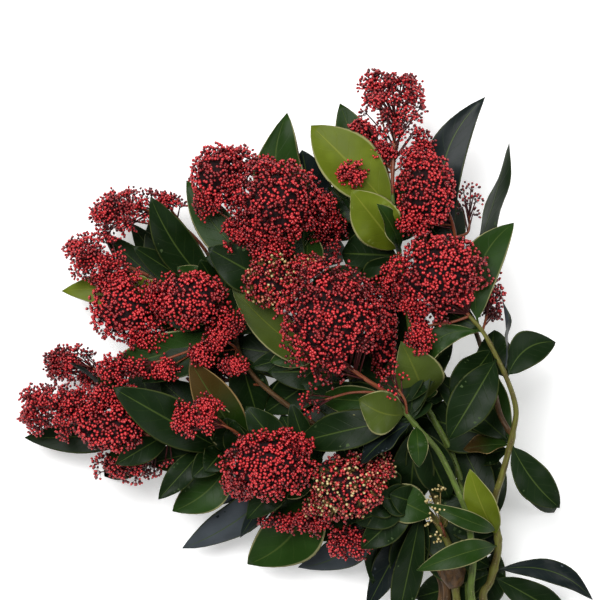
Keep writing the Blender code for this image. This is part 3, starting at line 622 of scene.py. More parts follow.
def caps(around: Array, levels: tuple[float, float], count: int, middle: Array) -> tuple[Array, Array]:
    """The triangles from the first and the last of some rings to a pole each, numbered after the rings.

    Args:
        around: The map's first coordinate at each corner of a ring and once more where it closes.
        levels: The map's second coordinate at the first pole and at the last.
        count: How many rings there are.
        middle: The map's first coordinate at the pole, for each triangle.

    Returns:
        The corners of each triangle by number, and their places on the map.
    """
    sides = len(around) - 1
    j = np.arange(sides)
    k = (j + 1) % sides
    last, pole = (count - 1) * sides, np.full(sides, count * sides)
    foot, tip = np.stack([k, j, pole], -1), np.stack([last + j, last + k, pole + 1], -1)
    u0, u1 = around[:-1], around[1:]
    u = np.vstack([np.stack([u1, u0, middle], -1), np.stack([u0, u1, middle], -1)])
    v = np.broadcast_to(np.repeat(levels, sides)[:, None], u.shape)
    return np.vstack([foot, tip]), np.stack([u, v], -1)


def skin_over(rings: Array, around: Array, along: Array) -> Skin:
    """A closed skin over rings of corners, with a pole in the middle of each end ring.

    Args:
        rings: Corners of shape (rings, corners in a ring, 3), turning right-handed about the way they go.
        around: The map's first coordinate at each corner of a ring and once more where it closes.
        along: The map's second coordinate at each ring.

    Returns:
        The skin.
    """
    grid, grid_uv = cells(around, along)
    ends, ends_uv = caps(around, (along[0], along[-1]), len(rings), (around[:-1] + around[1:]) / 2)
    poles = np.stack([rings[0].mean(axis=0), rings[-1].mean(axis=0)])
    corners = np.vstack([rings.reshape(-1, 3), poles])
    return Skin(corners, np.vstack([grid, ends]), np.vstack([grid_uv, ends_uv]))


def lumpy_ball(middle: Array, reach: Steps, share: float, lump: float) -> Skin:
    """A ball with a bumpy skin.

    At a polar angle p and a turn a it is share + lump sin(6a) sin(5p) sin(p) of its reach.

    Args:
        middle: Its middle in metres.
        reach: Its half sizes in steps.
        share: How much of the reach its skin takes on the whole.
        lump: How high its bumps are.

    Returns:
        The ball's skin.
    """
    rows, spokes, pole = 14, 20, 0.12
    polar = np.linspace(pole, math.pi - pole, rows)[:, None, None]
    turn = turns(spokes)[None, :, None]
    height = share + lump * np.sin(6 * turn) * np.sin(5 * polar) * np.sin(polar)
    x, y, z = np.eye(3)
    ball = -z * np.cos(polar) + (x * np.cos(turn) + y * np.sin(turn)) * np.sin(polar)
    rings = middle + ball * height * np.array(reach) * STEP
    return skin_over(rings, np.linspace(0, 1, spokes + 1), np.linspace(0.0, 0.1, rows))


@dataclass(frozen=True)
class Turned:
    """A small turned form that is repeated often: rings of a few corners round an axis of length one."""

    sides: int
    heights: tuple[float, ...]
    radii: tuple[float, ...]
    pointed: bool

    def grow(self, feet: Array, tips: Array, radii: Array) -> Skin:
        """One form from each foot to its tip, as one skin.

        Corner k of ring i stands at foot + h_i (tip - foot) + radius r_i (cos(2 pi k / n) s + sin(..) t),
        with s and t square to the axis. A pointed form has a pole at each end, and the other is flat there.

        Args:
            feet: Where the forms start, of shape (count, 3).
            tips: Where they end.
            radii: The radius that each form's profile is scaled by.

        Returns:
            The skin of all the forms.
        """
        count, sides = len(feet), self.sides
        forward = units(tips - feet)
        side, other = square_pair(forward, (0.15, 0.1, 1.0))
        spoke = wheel(side[:, None], other[:, None], turns(sides))
        height = np.array(self.heights)[None, :, None, None]
        radius = np.array(self.radii)[None, :, None, None] * radii[:, None, None, None]
        axis = feet[:, None, None] + height * (tips - feet)[:, None, None]
        rings = (axis + radius * spoke[:, None]).reshape(count, -1, 3)
        corners = np.concatenate([rings, feet[:, None], tips[:, None]], axis=1) if self.pointed else rings
        triangles, uv = self.pattern()
        shift = np.arange(count)[:, None, None] * corners.shape[1]
        tiled = np.broadcast_to(uv, (count, *uv.shape)).reshape(-1, 3, 2)
        return Skin(corners.reshape(-1, 3), (triangles + shift).reshape(-1, 3), tiled)

    def pattern(self) -> tuple[Array, Array]:
        """The triangles of one form and their map.

        Returns:
            The corners of each triangle by number, and their places on the map: around it, and up it.
        """
        around, along = np.linspace(0, 1, self.sides + 1), np.array(self.heights)
        wall, wall_uv = cells(around, along)
        if self.pointed:
            ends, ends_uv = caps(around, (0.0, 1.0), len(along), around[:-1])
        else:
            j, last = np.arange(1, self.sides - 1), (len(along) - 1) * self.sides
            foot, tip = np.stack([0 * j, j + 1, j], -1), last + np.stack([0 * j, j, j + 1], -1)
            ends, ends_uv = np.vstack([foot, tip]), np.zeros((2 * len(j), 3, 2))
            ends_uv[len(j) :, :, 1] = 1.0
        return np.vstack([wall, ends]), np.vstack([wall_uv, ends_uv])


BUD_FORM = Turned(5, (0.24, 0.68), (0.86, 0.90), pointed=True)
PEDICEL_FORM = Turned(3, (0.0,), (1.0,), pointed=True)
BRANCH_FORM = Turned(4, (0.0, 1.0), (1.0, 0.7), pointed=False)


class Wire:
    """A socket of a material's nodes, on which sums are written as plain expressions."""

    def __init__(self, sheet: "NodeSheet", socket: bpy.types.NodeSocket) -> None:
        """Hold one output socket."""
        self.sheet = sheet
        self.socket = socket

    def _maths(self, operation: str, first: object, second: object = 0.0) -> "Wire":
        """The result of a Math node on two values."""
        return self.sheet.node("ShaderNodeMath", {"operation": operation}, {0: first, 1: second})

    def __add__(self, other: object) -> "Wire":
        """This plus another."""
        return self._maths("ADD", self, other)

    def __sub__(self, other: object) -> "Wire":
        """This less another."""
        return self._maths("SUBTRACT", self, other)

    def __rsub__(self, other: object) -> "Wire":
        """Another less this."""
        return self._maths("SUBTRACT", other, self)

    def __mul__(self, other: object) -> "Wire":
        """This times another."""
        return self._maths("MULTIPLY", self, other)

    def __abs__(self) -> "Wire":
        """This without its sign."""
        return self._maths("ABSOLUTE", self)

    def above(self, level: float) -> "Wire":
        """One where this is more than a level, and nought elsewhere."""
        return self._maths("GREATER_THAN", self, level)

    def fraction(self) -> "Wire":
        """What is left of this beyond its whole number."""
        return self._maths("FRACT", self)

    def ramp(self, start: float, end: float) -> "Wire":
        """A smooth rise from 0 where this is start to 1 where it is end."""
        settings = {"interpolation_type": "SMOOTHSTEP"}
        return self.sheet.node("ShaderNodeMapRange", settings, {0: self, 1: start, 2: end, 3: 0.0, 4: 1.0})


Colour = tuple[float, float, float]


class NodeSheet:
    """The nodes of one material, around its Principled shader."""

    def __init__(self, name: str) -> None:
        """Start a material with only a shader and its output.

        Args:
            name: The material's name.
        """
        self.material = bpy.data.materials.new(name)
        self.material.use_nodes = True
        self.tree = self.material.node_tree
        self.shader = self.tree.nodes["Principled BSDF"]

    def node(
        self, kind: str, settings: dict[str, object], inputs: dict[object, object], output: object = 0
    ) -> Wire:
        """Add one node.

        Args:
            kind: The node's type.
            settings: Its own properties, set before its sockets.
            inputs: A value or a wire for each named or numbered socket.
            output: Which output to return.

        Returns:
            The wire from that output.
        """
        made = self.tree.nodes.new(kind)
        for name, value in settings.items():
            setattr(made, name, value)
        for key, value in inputs.items():
            self.feed(made.inputs[key], value)
        return Wire(self, made.outputs[output])

    def feed(self, socket: bpy.types.NodeSocket, value: object) -> None:
        """Give a socket a wire or a plain value.

        Args:
            socket: The input to set.
            value: A wire, a number, or a colour of three channels.
        """
        if isinstance(value, Wire):
            self.tree.links.new(value.socket, socket)
        elif isinstance(value, tuple) and len(value) == 3 and socket.type == "RGBA":
            socket.default_value = (*value, 1.0)
        else:
            socket.default_value = value

    def colours(self, share: Wire | float, first: object, second: object) -> Wire:
        """The mix of two colours by a share."""
        return self.node("ShaderNodeMix", {"data_type": "RGBA"}, {0: share, 6: first, 7: second}, 2)

    def map_of(self, name: str) -> tuple[Wire, Wire]:
        """The two coordinates of a piece's own map.

        Args:
            name: The map's name.

        Returns:
            The wire across it and the wire up it.
        """
        uv = self.node("ShaderNodeUVMap", {"uv_map": name}, {})
        first = self.node("ShaderNodeSeparateXYZ", {}, {0: uv})
        return first, Wire(self, first.socket.node.outputs[1])

    def noise(self, scale: float, detail: float = 2.0) -> Wire:
        """Cloudy noise on Object coordinates, about 0.5, with features of one over the scale in metres."""
        spot = self.node("ShaderNodeTexCoord", {}, {}, "Object")
        return self.node("ShaderNodeTexNoise", {}, {"Vector": spot, "Scale": scale, "Detail": detail})

    def relief(self, height: Wire, distance: float, strength: float) -> Wire:
        """A normal bumped by a height that is counted in the given distance."""
        inputs = {"Height": height, "Distance": distance, "Strength": strength}
        return self.node("ShaderNodeBump", {}, inputs)

    def dress(self, **sockets: object) -> bpy.types.Material:
        """Set the shader's sockets.

        Args:
            **sockets: A wire or a value for each socket, named with _ for each space.

        Returns:
            The material.
        """
        for name, value in sockets.items():
            self.feed(self.shader.inputs[name.replace("_", " ")], value)
        return self.material


@dataclass(frozen=True)
class LeafFinish:
    """A smooth, leathery leaf: its two sides, its pale rim and rib, and how glossy it is."""

    name: str
    upper: Colour
    under: Colour
    rim: Colour
    rib: Colour
    roughness: float = 0.42
    coat: float = 0.03
    foot: Colour | None = None

    def material(self) -> bpy.types.Material:
        """The leaf's material, drawn on its map: 0 to 1 across its face and 1 to 2 back across its underside.

        Returns:
            The material, with a rib, slanted veins, a rim, cloudy patches and a fine relief.
        """
        sheet = NodeSheet(self.name)
        u, v = sheet.map_of("map")
        under = u.above(1.0)
        across_blade = abs((u - under) * 2.0 - 1.0)
        rib = 1.0 - across_blade.ramp(0.015, 0.055)
        rim = across_blade.ramp(0.90, 0.97)
        slanted = (v * 8.0 - across_blade * 1.7).fraction()
        vein = (1.0 - abs(slanted - 0.5).ramp(0.0, 0.07)) * (1.0 - across_blade.ramp(0.55, 0.9))
        cloud = sheet.noise(38.0)
        fine = sheet.noise(420.0, 3.0)
        light = tuple(min(1.0, channel * 1.6 + 0.004) for channel in self.upper)
        face = sheet.colours(cloud.ramp(0.35, 0.75) * 0.55, self.upper, light)
        if self.foot:
            face = sheet.colours(v.ramp(0.35, 0.85), self.foot, face)
        face = sheet.colours(vein * 0.10, face, self.rib)
        face = sheet.colours(rib * 0.75, face, self.rib)
        back = sheet.colours(cloud.ramp(0.3, 0.8) * 0.5, self.under, light)
        back = sheet.colours(rib * 0.6, back, self.rib)
        both = sheet.colours(under, face, back)
        edged = sheet.colours(rim * 0.8, both, self.rim)
        height = fine * 0.25 + cloud * 0.6 - vein * 0.35 - rib * 0.7
        return sheet.dress(
            Base_Color=edged,
            Roughness=under * 0.16 + fine * 0.12 + (self.roughness - 0.06),
            Coat_Weight=(1.0 - under) * self.coat,
            Coat_Roughness=0.25,
            Specular_IOR_Level=0.07,
            Normal=sheet.relief(height, 0.0005, 0.55),
        )


@dataclass(frozen=True)
class BudFinish:
    """A closed waxy bud, darkened at its foot by painted shade and paled at its top by a painted highlight,
    no two quite alike.
    """

    name: str
    foot: Colour
    body: Colour
    crown_highlight: Colour

    def material(self) -> bpy.types.Material:
        """The bud's material, drawn on its map: around it and up it.

        Returns:
            The material, with painted shade at the foot, the bud's own colour in its body, a painted
            highlight at the top and a fine grain.
        """
        sheet = NodeSheet(self.name)
        _, v = sheet.map_of("map")
        varied = sheet.noise(260.0, 1.0)
        grain = sheet.noise(1500.0, 2.0)
        body = sheet.colours(varied.ramp(0.35, 0.65), self.body, tuple(c * 0.62 for c in self.body))
        # Painted shade: the foot colour darkens the lower part of each bud.
        lower = sheet.colours(v.ramp(0.15, 0.72), self.foot, body)
        # Painted highlight: a pale colour over the top of each bud.
        whole = sheet.colours(v.ramp(0.66, 1.0) * 0.8, lower, self.crown_highlight)
        return sheet.dress(
            Base_Color=whole,
            Roughness=grain * 0.2 + 0.24,
            Coat_Weight=varied * 0.2,
            Coat_Roughness=0.2,
            Normal=sheet.relief(grain, 0.00025, 0.5),
        )


@dataclass(frozen=True)
class BarkFinish:
    """Young bark: a smooth skin with long streaks, small pale pores and darker patches."""

    name: str
    skin: Colour
    streak: Colour
    pore: Colour
    roughness: float = 0.5

    def material(self) -> bpy.types.Material:
        """The bark's material, drawn on its map: around the stem, and along it in metres.

        Returns:
            The material, with long streaks, darker patches and small pores.
        """
        sheet = NodeSheet(self.name)
        u, v = sheet.map_of("map")
        vector = sheet.node("ShaderNodeCombineXYZ", {}, {0: u * 5.0, 1: v * 45.0, 2: 0.0})
        streaks = sheet.node("ShaderNodeTexNoise", {}, {"Vector": vector, "Scale": 1.6, "Detail": 4.0})
        spots = sheet.node("ShaderNodeCombineXYZ", {}, {0: u * 9.0, 1: v * 420.0, 2: 0.0})
        pores = sheet.node("ShaderNodeTexNoise", {}, {"Vector": spots, "Scale": 1.0, "Detail": 1.0})
        cloud = sheet.noise(55.0, 3.0)
        pore = pores.ramp(0.66, 0.72)
        mixed = sheet.colours(streaks.ramp(0.38, 0.68), self.skin, self.streak)
        mixed = sheet.colours(cloud.ramp(0.45, 0.8) * 0.5, mixed, self.streak)
        whole = sheet.colours(pore * 0.6, mixed, self.pore)
        return sheet.dress(
            Base_Color=whole,
            Roughness=streaks * 0.2 + (self.roughness - 0.1),
            Specular_IOR_Level=0.3,
            Normal=sheet.relief(streaks + pore * 0.8, 0.0006, 0.6),
        )


@dataclass(frozen=True)
class FloorFinish:
    """A plain pale table, lit a little from below as a light table is."""

    name: str
    colour: Colour
    roughness: float = 0.9
    glow: float = 0.35

    def material(self) -> bpy.types.Material:
        """The table's material.

        Returns:
            The material, with no pattern.
        """
        return NodeSheet(self.name).dress(
            Base_Color=self.colour,
            Roughness=self.roughness,
            Emission_Color=self.colour,
            Emission_Strength=self.glow,
        )


RIM = (0.36, 0.34, 0.16)
FAINT_RIM = (0.055, 0.070, 0.018)
BROWN_RIM = (0.34, 0.22, 0.09)
RIB = (0.050, 0.080, 0.015)
LIGHT_RIB = (0.16, 0.18, 0.02)
OLIVE_RIB = (0.09, 0.11, 0.015)
UNDERSIDE = (0.050, 0.078, 0.028)
GREEN_FOOT = (0.011, 0.028, 0.003)
LEAF_FINISHES = {
    DARK: LeafFinish("leaf_dark", (0.0042, 0.0125, 0.0022), UNDERSIDE, FAINT_RIM, RIB),
    MID: LeafFinish("leaf_mid", (0.011, 0.031, 0.0035), UNDERSIDE, RIM, RIB),
    LIGHT: LeafFinish("leaf_light", (0.082, 0.108, 0.006), (0.13, 0.17, 0.03), RIM, LIGHT_RIB, 0.45),
    OLIVE: LeafFinish("leaf_olive", (0.040, 0.058, 0.008), (0.07, 0.09, 0.02), RIM, OLIVE_RIB),
    # Painted sheen: the bluish face and bluish-grey underside stand for the lights' reflection; the light
    # coat is real gloss.
    SLATE: LeafFinish("leaf_painted_sheen", (0.005, 0.009, 0.009), (0.055, 0.065, 0.075), FAINT_RIM, RIB, 0.44, 0.1),
    BROWN: LeafFinish(
        "leaf_brown", (0.038, 0.022, 0.004), (0.10, 0.08, 0.03), BROWN_RIM, RIB, 0.45, 0.06, GREEN_FOOT
    ),
}
# Each tint: painted shade at the foot, the bud's own colour, then a painted highlight at the top.
BUD_FINISHES = {
    Tint.CRIMSON: BudFinish("bud_crimson", (0.045, 0.002, 0.004), (0.44, 0.010, 0.016), (0.60, 0.030, 0.034)),
    Tint.DEEP: BudFinish("bud_deep", (0.025, 0.002, 0.003), (0.15, 0.005, 0.008), (0.30, 0.014, 0.017)),
    Tint.CORAL: BudFinish("bud_coral", (0.14, 0.014, 0.010), (0.46, 0.090, 0.050), (0.62, 0.24, 0.14)),
    Tint.CREAM: BudFinish("bud_cream", (0.16, 0.13, 0.03), (0.46, 0.33, 0.12), (0.62, 0.50, 0.24)),
}
BARK_FINISHES = {
    Bark.GREEN: BarkFinish("bark_green", (0.095, 0.150, 0.022), (0.050, 0.070, 0.012), (0.22, 0.20, 0.09)),
    Bark.OLIVE: BarkFinish("bark_olive", (0.120, 0.125, 0.020), (0.070, 0.050, 0.013), (0.24, 0.19, 0.09)),
    Bark.BROWN: BarkFinish("bark_brown", (0.100, 0.050, 0.017), (0.040, 0.022, 0.009), (0.20, 0.14, 0.08)),
}
PEDUNCLE = BarkFinish("stalk_orange", (0.210, 0.058, 0.020), (0.110, 0.020, 0.012), (0.30, 0.16, 0.08), 0.45)
PEDICEL = BarkFinish("stalk_maroon", (0.075, 0.009, 0.010), (0.038, 0.005, 0.006), (0.12, 0.03, 0.02), 0.45)
GREEN_PEDICEL = BarkFinish("stalk_green", (0.190, 0.150, 0.042), (0.11, 0.06, 0.02), (0.28, 0.23, 0.10), 0.45)
HEARTWOOD = BarkFinish("cut_wood", (0.520, 0.440, 0.220), (0.400, 0.300, 0.130), (0.30, 0.24, 0.12), 0.7)
# Near-black painted shade for the heart of a dense head, where its stalks lie in shadow.
SHADE = BarkFinish("head_painted_shade", (0.014, 0.002, 0.003), (0.006, 0.001, 0.001), (0.03, 0.006, 0.006), 0.9)
TABLE = FloorFinish("pale_table", (0.92, 0.92, 0.92))


class Sheaf:
    """Skins of one finish, gathered and joined into pieces under the triangle limit."""

    def __init__(self, name: str, finish: LeafFinish | BudFinish | BarkFinish, slot: str) -> None:
        """Start an empty sheaf.

        Args:
            name: The name of its pieces.
            finish: What they are finished in.
            slot: The record's material that they are made of. It is not used.
        """
        self.name = name
        self.finish = finish
        self.slot = slot
        self.skins: list[tuple[str, Skin]] = []

    def add(self, node: str, skin: Skin) -> None:
        """Gather one skin that stands for a part of a node."""
        self.skins.append((node, skin))

    def batches(self) -> list[list[tuple[str, Skin]]]:
        """The skins dealt out in order.

        Returns:
            The batches, none of them over the limit.
        """
        batches, total = [[]], 0
        for node, skin in self.skins:
            total += len(skin.triangles)
            if total > TRIANGLES_A_PIECE:
                batches.append([])
                total = len(skin.triangles)
            batches[-1].append((node, skin))
        return batches

    def build(self) -> int:
        """Make the pieces, each riding on the body and standing for its nodes.

        Returns:
            How many triangles they have.
        """
        if not self.skins:
            return 0
        material = self.finish.material()
        batches = self.batches()
        for number, batch in enumerate(batches):
            name = self.name if len(batches) == 1 else f"{self.name}_{number + 1}"
            piece = self.join(name, [skin for _, skin in batch])
            piece.data.materials.append(material)
            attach(piece, BODY)
            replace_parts(piece, *sorted({node for node, _ in batch}))
            nodes = len(piece["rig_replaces"])
            LOG.info("%s: %d triangles for %d nodes", name, len(piece.data.polygons), nodes)
        return sum(len(skin.triangles) for _, skin in self.skins)

    @staticmethod
    def join(name: str, skins: list[Skin]) -> bpy.types.Object:
        """One object from many skins, shaded smooth.

        Args:
            name: The piece's name.
            skins: What it is joined from.

        Returns:
            The object, at the origin with its place in its mesh.
        """
        starts = np.cumsum([0] + [len(skin.corners) for skin in skins[:-1]])
        corners = np.concatenate([skin.corners for skin in skins])
        triangles = np.concatenate([skin.triangles + start for skin, start in zip(skins, starts)])
        uv = np.concatenate([skin.uv for skin in skins])
        mesh = bpy.data.meshes.new(name)
        mesh.vertices.add(len(corners))
        mesh.vertices.foreach_set("co", corners.astype(np.float32).ravel())
        mesh.loops.add(triangles.size)
        mesh.loops.foreach_set("vertex_index", triangles.astype(np.int32).ravel())
        mesh.polygons.add(len(triangles))
        mesh.polygons.foreach_set("loop_start", np.arange(0, triangles.size, 3, dtype=np.int32))
        mesh.polygons.foreach_set("use_smooth", np.ones(len(triangles), bool))
        mesh.uv_layers.new(name="map").data.foreach_set("uv", uv.astype(np.float32).ravel())
        mesh.update(calc_edges=True)
        mesh.validate()
        piece = bpy.data.objects.new(name, mesh)
        bpy.context.scene.collection.objects.link(piece)
        return piece


@dataclass(frozen=True)
class Blade:
    """One leaf's surface, from its stalk to its tip."""

    root: Array
    tip: Array
    width: float
    roll: float
    arch: float
    sway: float
    twist: float
    ripple: float
    phase: float

    ROWS = 17
    HALF_COLUMNS = (-1.0, -0.9, -0.55, 0.0, 0.55, 0.9, 1.0)
    FOLD = 0.15
    CUP = 0.07
    THICKNESS = 0.00055
    STALK_SHARE = 0.055
    FULLNESS = 0.82

    def skin(self) -> Skin:
        """The leaf as a closed thin shell.

        The rib runs from root to tip along v, lifted by 4v(1-v) times arch to its face and sway to its side.
        At v the half width is sin(pi v^1.1)^0.82 of half the leaf's width, easing in over the first sixth
        and never less than its stalk. At c from -1 to 1 across, the blade stands off the rib's plane by
        fold |c| + cup c^2 of the half width, plus a ripple c^2 sin(2 pi (2v + phase)). Its two sides part
        by a thickness that fades to the rim. Nothing goes below the floor.

        Returns:
            The skin of the blade and its stalk.
        """
        forward = units(self.tip - self.root)
        up = across(forward, UPRIGHT)
        face = np.array(Matrix.Rotation(math.radians(self.roll), 3, Vector(forward)) @ Vector(up))
        side = np.cross(forward, face)
        lift = face if abs(self.roll) <= 90 else -face
        v = np.linspace(0.0, 1.0, self.ROWS)
        bow = (4 * v * (1 - v))[:, None]
        rib = self.root + (self.tip - self.root) * v[:, None] + (lift * self.arch + side * self.sway) * bow
        outline = np.maximum(np.sin(np.pi * v**1.1), 0.0) ** self.FULLNESS
        outline = np.maximum(outline * ease(v, 0.0, 0.16), np.where(v < 0.5, self.STALK_SHARE, 0.012))
        half = (self.width / 2 * outline)[:, None]
        turn = np.radians(self.twist) * (v - 0.35)[:, None, None]
        sideways = side * np.cos(turn) + face * np.sin(turn)
        upwards = face * np.cos(turn) - side * np.sin(turn)
        c = np.array(self.HALF_COLUMNS)[None, :]
        wave = self.ripple * np.sin(2 * np.pi * (2 * v + self.phase))[:, None]
        height = half * (self.FOLD * np.abs(c) + self.CUP * c**2) + wave * c**2 * outline[:, None]
        thick = self.THICKNESS / 2 * (1 - np.abs(c) ** 3) * (1.35 - 0.7 * v[:, None])
        thick = thick + np.where(v[:, None] < 0.1, 0.0004, 0.0) * (1 - np.abs(c))
        flat = rib[:, None] + sideways * (half * c)[:, :, None]
        top = flat + upwards * (height + thick)[:, :, None]
        bottom = flat + upwards * (height - thick)[:, :, None]
        rings = np.concatenate([top, bottom[:, -2:0:-1]], axis=1)
        upper = (np.array(self.HALF_COLUMNS) + 1) / 2
        around = np.concatenate([upper, 2 - upper[::-1][1:-1], [2.0]])
        return skin_over(keep_above(rings), around, v)


@dataclass
class Sprays:
    """The buds of a head and the stalks under them.

    Of each spray it holds where its branch starts and the joint where its buds' stalks meet, and of each bud
    its spray, its foot, its tip and its radius.
    """

    count: int
    of_bud: Array
    feet: Array
    tips: Array
    radii: Array
    joints: Array
    starts: Array


@dataclass
class HeadGrower:
    """Grows the buds of one head: primary branches, a spray at the end of each, a stalked bud at each tip.

    Lengths are in metres, a cone is the cosine of the angle at which it starts, and a dense head's heights
    are shares of its reach.
    """

    head: Head
    middle: Array
    axis: Array
    stalk: GrowthLine
    bare: float
    dice: random.Random
    chance: random.Random

    LOWEST = 0.004
    BUD_LENGTH = 0.0032
    BUD_RADIUS = 0.00144
    HUB_JITTER = 0.12

    DENSE_CONE = -0.8
    SPRAY_AREA = 0.00030
    FEWEST_SPRAYS = 9
    UNEVENNESS = 0.07
    BUD_CONE = -0.9
    BUD_JITTER = 0.25
    BUD_SCATTER = 0.025
    SPACING = 0.0040
    PACKING = 0.87
    CROWDING = 1.3
    UNDERSIDE = -0.15
    UNDER_SHARE = 0.35
    DOME = 0.13
    SUNK_SHARE = 0.36
    SUNK_DEPTHS = (0.10, 0.24)
    SPRAY_DEPTH = 0.32
    RAGGEDNESS = (-0.05, 0.035)
    LEANING = 0.8
    LENGTH_SHARES = (0.85, 1.1)
    RADIUS_SHARES = (0.85, 1.12)

    OPEN_CONE = -0.62
    OPEN_REACH = 0.0082
    OPEN_DEPTH = 0.0072
    OPEN_BUDS = 14
    SPARSE_BUDS = 8
    OPEN_SHARES = ((0.62, 0.97), (0.55, 1.02), (0.15, 0.6))
    OPEN_DROPS = (-0.0018, 0.0026)
    OPEN_LENGTH_SHARES = (0.82, 1.08)
    OPEN_RADIUS_SHARES = (0.72, 0.95)

    def spread(self, count: int, jitter: float, cone: float) -> Array:
        """Directions spread evenly over a head by the golden angle, apart from a cone round its stalk.

        Direction i rises by 1 - (1 - cone)(i + 1/2) / count along the axis and turns by i golden angles.

        Args:
            count: How many directions there are.
            jitter: How far each may turn out of its place, in radians.
            cone: How far the last goes back, as the cosine of its angle from the axis.

        Returns:
            Unit vectors, one in each row.
        """
        side, other = square_pair(self.axis, (0.0, 0.3, 1.0))
        i = np.arange(count)
        rise = 1.0 - (1.0 - cone) * (i + 0.5) / count
        turn = GOLDEN_ANGLE * i + np.array([self.dice.uniform(-jitter, jitter) for _ in range(count)])
        ring = np.sqrt(1.0 - rise * rise)
        return self.axis * rise[:, None] + ring[:, None] * wheel(side, other, turn)

    def surface(self) -> float:
        """About how large the head's surface is: 4 pi times a power mean of its reaches' products.

        Returns:
            The area in square metres.
        """
        a, b, c = np.array(self.head.reach) * STEP
        power = 1.6
        mean = ((a * b) ** power + (a * c) ** power + (b * c) ** power) / 3
        return 4 * math.pi * mean ** (1 / power)

    def dense(self) -> Sprays:
        """A dense head: small domed sprays side by side over its whole surface.

        Buds lie on the head by the golden angle, thinned out where the head curves away more steeply, and
        join the spray whose direction is nearest. Each stands at the spray's height less 0.13 for each
        square of its angle from the spray's middle, counted in spray widths, and a third of them are sunk
        deeper. Below, where only the floor sees it, two buds of three are left out.

        Returns:
            The buds and stalks.
        """
        chance = np.random.default_rng(self.chance.randrange(1 << 30))
        reach = np.array(self.head.reach) * STEP
        number = max(self.FEWEST_SPRAYS, int(self.surface() / self.SPRAY_AREA))
        hubs = self.spread(number, self.HUB_JITTER, self.DENSE_CONE)
        heights = self.swell(hubs, chance) + chance.uniform(-self.UNEVENNESS, self.UNEVENNESS, number)
        stretched = reach.prod() / reach
        bud_area = self.PACKING * self.SPACING**2
        count = int(4 * math.pi * stretched.max() * self.CROWDING / bud_area)
        buds = self.spread(count, self.BUD_JITTER, self.BUD_CONE)
        buds = units(buds + chance.normal(0, self.BUD_SCATTER, buds.shape))
        room = np.linalg.norm(buds * stretched, axis=1) / stretched.max()
        seen = np.where(buds[:, 2] > self.UNDERSIDE, 1.0, self.UNDER_SHARE)
        buds = buds[chance.random(count) < room * seen]
        nearness = buds @ hubs.T
        of_bud = nearness.argmax(axis=1)
        angle = np.arccos(np.clip(nearness.max(axis=1), -1, 1)) / math.sqrt(4 / len(hubs))
        sinks = chance.random(len(buds)) < self.SUNK_SHARE
        sunk = np.where(sinks, chance.uniform(*self.SUNK_DEPTHS, len(buds)), 0.0)
        uneven = chance.uniform(*self.RAGGEDNESS, len(buds))
        share = heights[of_bud] - self.DOME * angle**2 + uneven - sunk
        tips = keep_above(self.middle + buds * reach * share[:, None], self.LOWEST)
        joints = self.middle + hubs * reach * (heights - self.SPRAY_DEPTH)[:, None]
        leaning = units(units(buds / reach) + self.LEANING * units(tips - joints[of_bud]))
        lengths = self.BUD_LENGTH * chance.uniform(*self.LENGTH_SHARES, len(buds))
        radii = self.BUD_RADIUS * chance.uniform(*self.RADIUS_SHARES, len(buds))
        feet = tips - leaning * lengths[:, None]
        return Sprays(number, of_bud, feet, tips, radii, joints, self.forks(joints))

    def swell(self, ways: Array, chance: np.random.Generator) -> Array:
        """How far a dense head reaches each way, as a share of its reach: 0.97 and three gentle waves.

        Each wave is 0.055 sin(k . d + c) along a direction d, with a random k about four long.

        Args:
            ways: The directions.
            chance: Where the waves are drawn from.

        Returns:
            The share for each direction.
        """
        waves = chance.normal(0, 2.4, (3, 3))
        starts = chance.uniform(0, 2 * math.pi, 3)
        return 0.97 + 0.055 * np.sin(ways @ waves.T + starts).sum(axis=1)

    def open(self) -> Sprays:
        """An open head: a spray of buds for each club of its solid, and if not sparse three times as many.

        Bud k of a spray stands round the spray's top at OPEN_REACH sqrt((k + 1/2) / buds) by the golden
        angle, and a third of that lower, so that a spray is a small dome on its own branch.

        Returns:
            The buds and stalks.
        """
        chance = np.random.default_rng(self.chance.randrange(1 << 30))
        reach = np.array(self.head.reach) * STEP
        ways = self.spread(self.head.clubs, self.HUB_JITTER, self.OPEN_CONE)
        shares = np.array([self.dice.uniform(0.92, 1.0) for _ in range(self.head.clubs)])
        near = np.roll(ways, 1, axis=0) + ways * 0.7 + chance.normal(0, 0.25, ways.shape)
        wide = np.roll(ways, 2, axis=0) + ways + chance.normal(0, 0.35, ways.shape)
        deep = chance.normal(0, 1.0, ways.shape)
        groups = 0 if self.head.sparse else 3
        ways = units(np.vstack([ways, near, wide, deep][: groups + 1]))
        spread = [chance.uniform(low, high, len(near)) for low, high in self.OPEN_SHARES]
        shares = np.concatenate([shares, *spread[:groups]])
        hubs = self.middle + ways * reach * shares[:, None]
        starts = self.forks(hubs)
        facing = units(units(hubs - starts) + 0.5 * ways + chance.normal(0, 0.12, ways.shape))
        count = len(hubs)
        joints = hubs - facing * self.OPEN_DEPTH
        number = self.SPARSE_BUDS if self.head.sparse else self.OPEN_BUDS
        of_bud = np.repeat(np.arange(count), number)
        k = np.tile(np.arange(number), count)
        side, other = (way[of_bud] for way in square_pair(facing, (0.1, 0.2, 1.0)))
        out = self.OPEN_REACH * np.sqrt((k + 0.5) / number) * chance.uniform(0.8, 1.12, len(k))
        turn = GOLDEN_ANGLE * k + of_bud + chance.uniform(-0.25, 0.25, len(k))
        flat = wheel(side, other, turn)
        drop = (0.3 * out + chance.uniform(*self.OPEN_DROPS, len(k)))[:, None]
        tips = hubs[of_bud] + flat * out[:, None] - facing[of_bud] * drop
        leaning = units(tips - joints[of_bud])
        lengths = self.BUD_LENGTH * chance.uniform(*self.OPEN_LENGTH_SHARES, len(k))
        radii = self.BUD_RADIUS * chance.uniform(*self.OPEN_RADIUS_SHARES, len(k))
        tips = keep_above(tips, self.LOWEST)
        return Sprays(count, of_bud, tips - leaning * lengths[:, None], tips, radii, joints, starts)

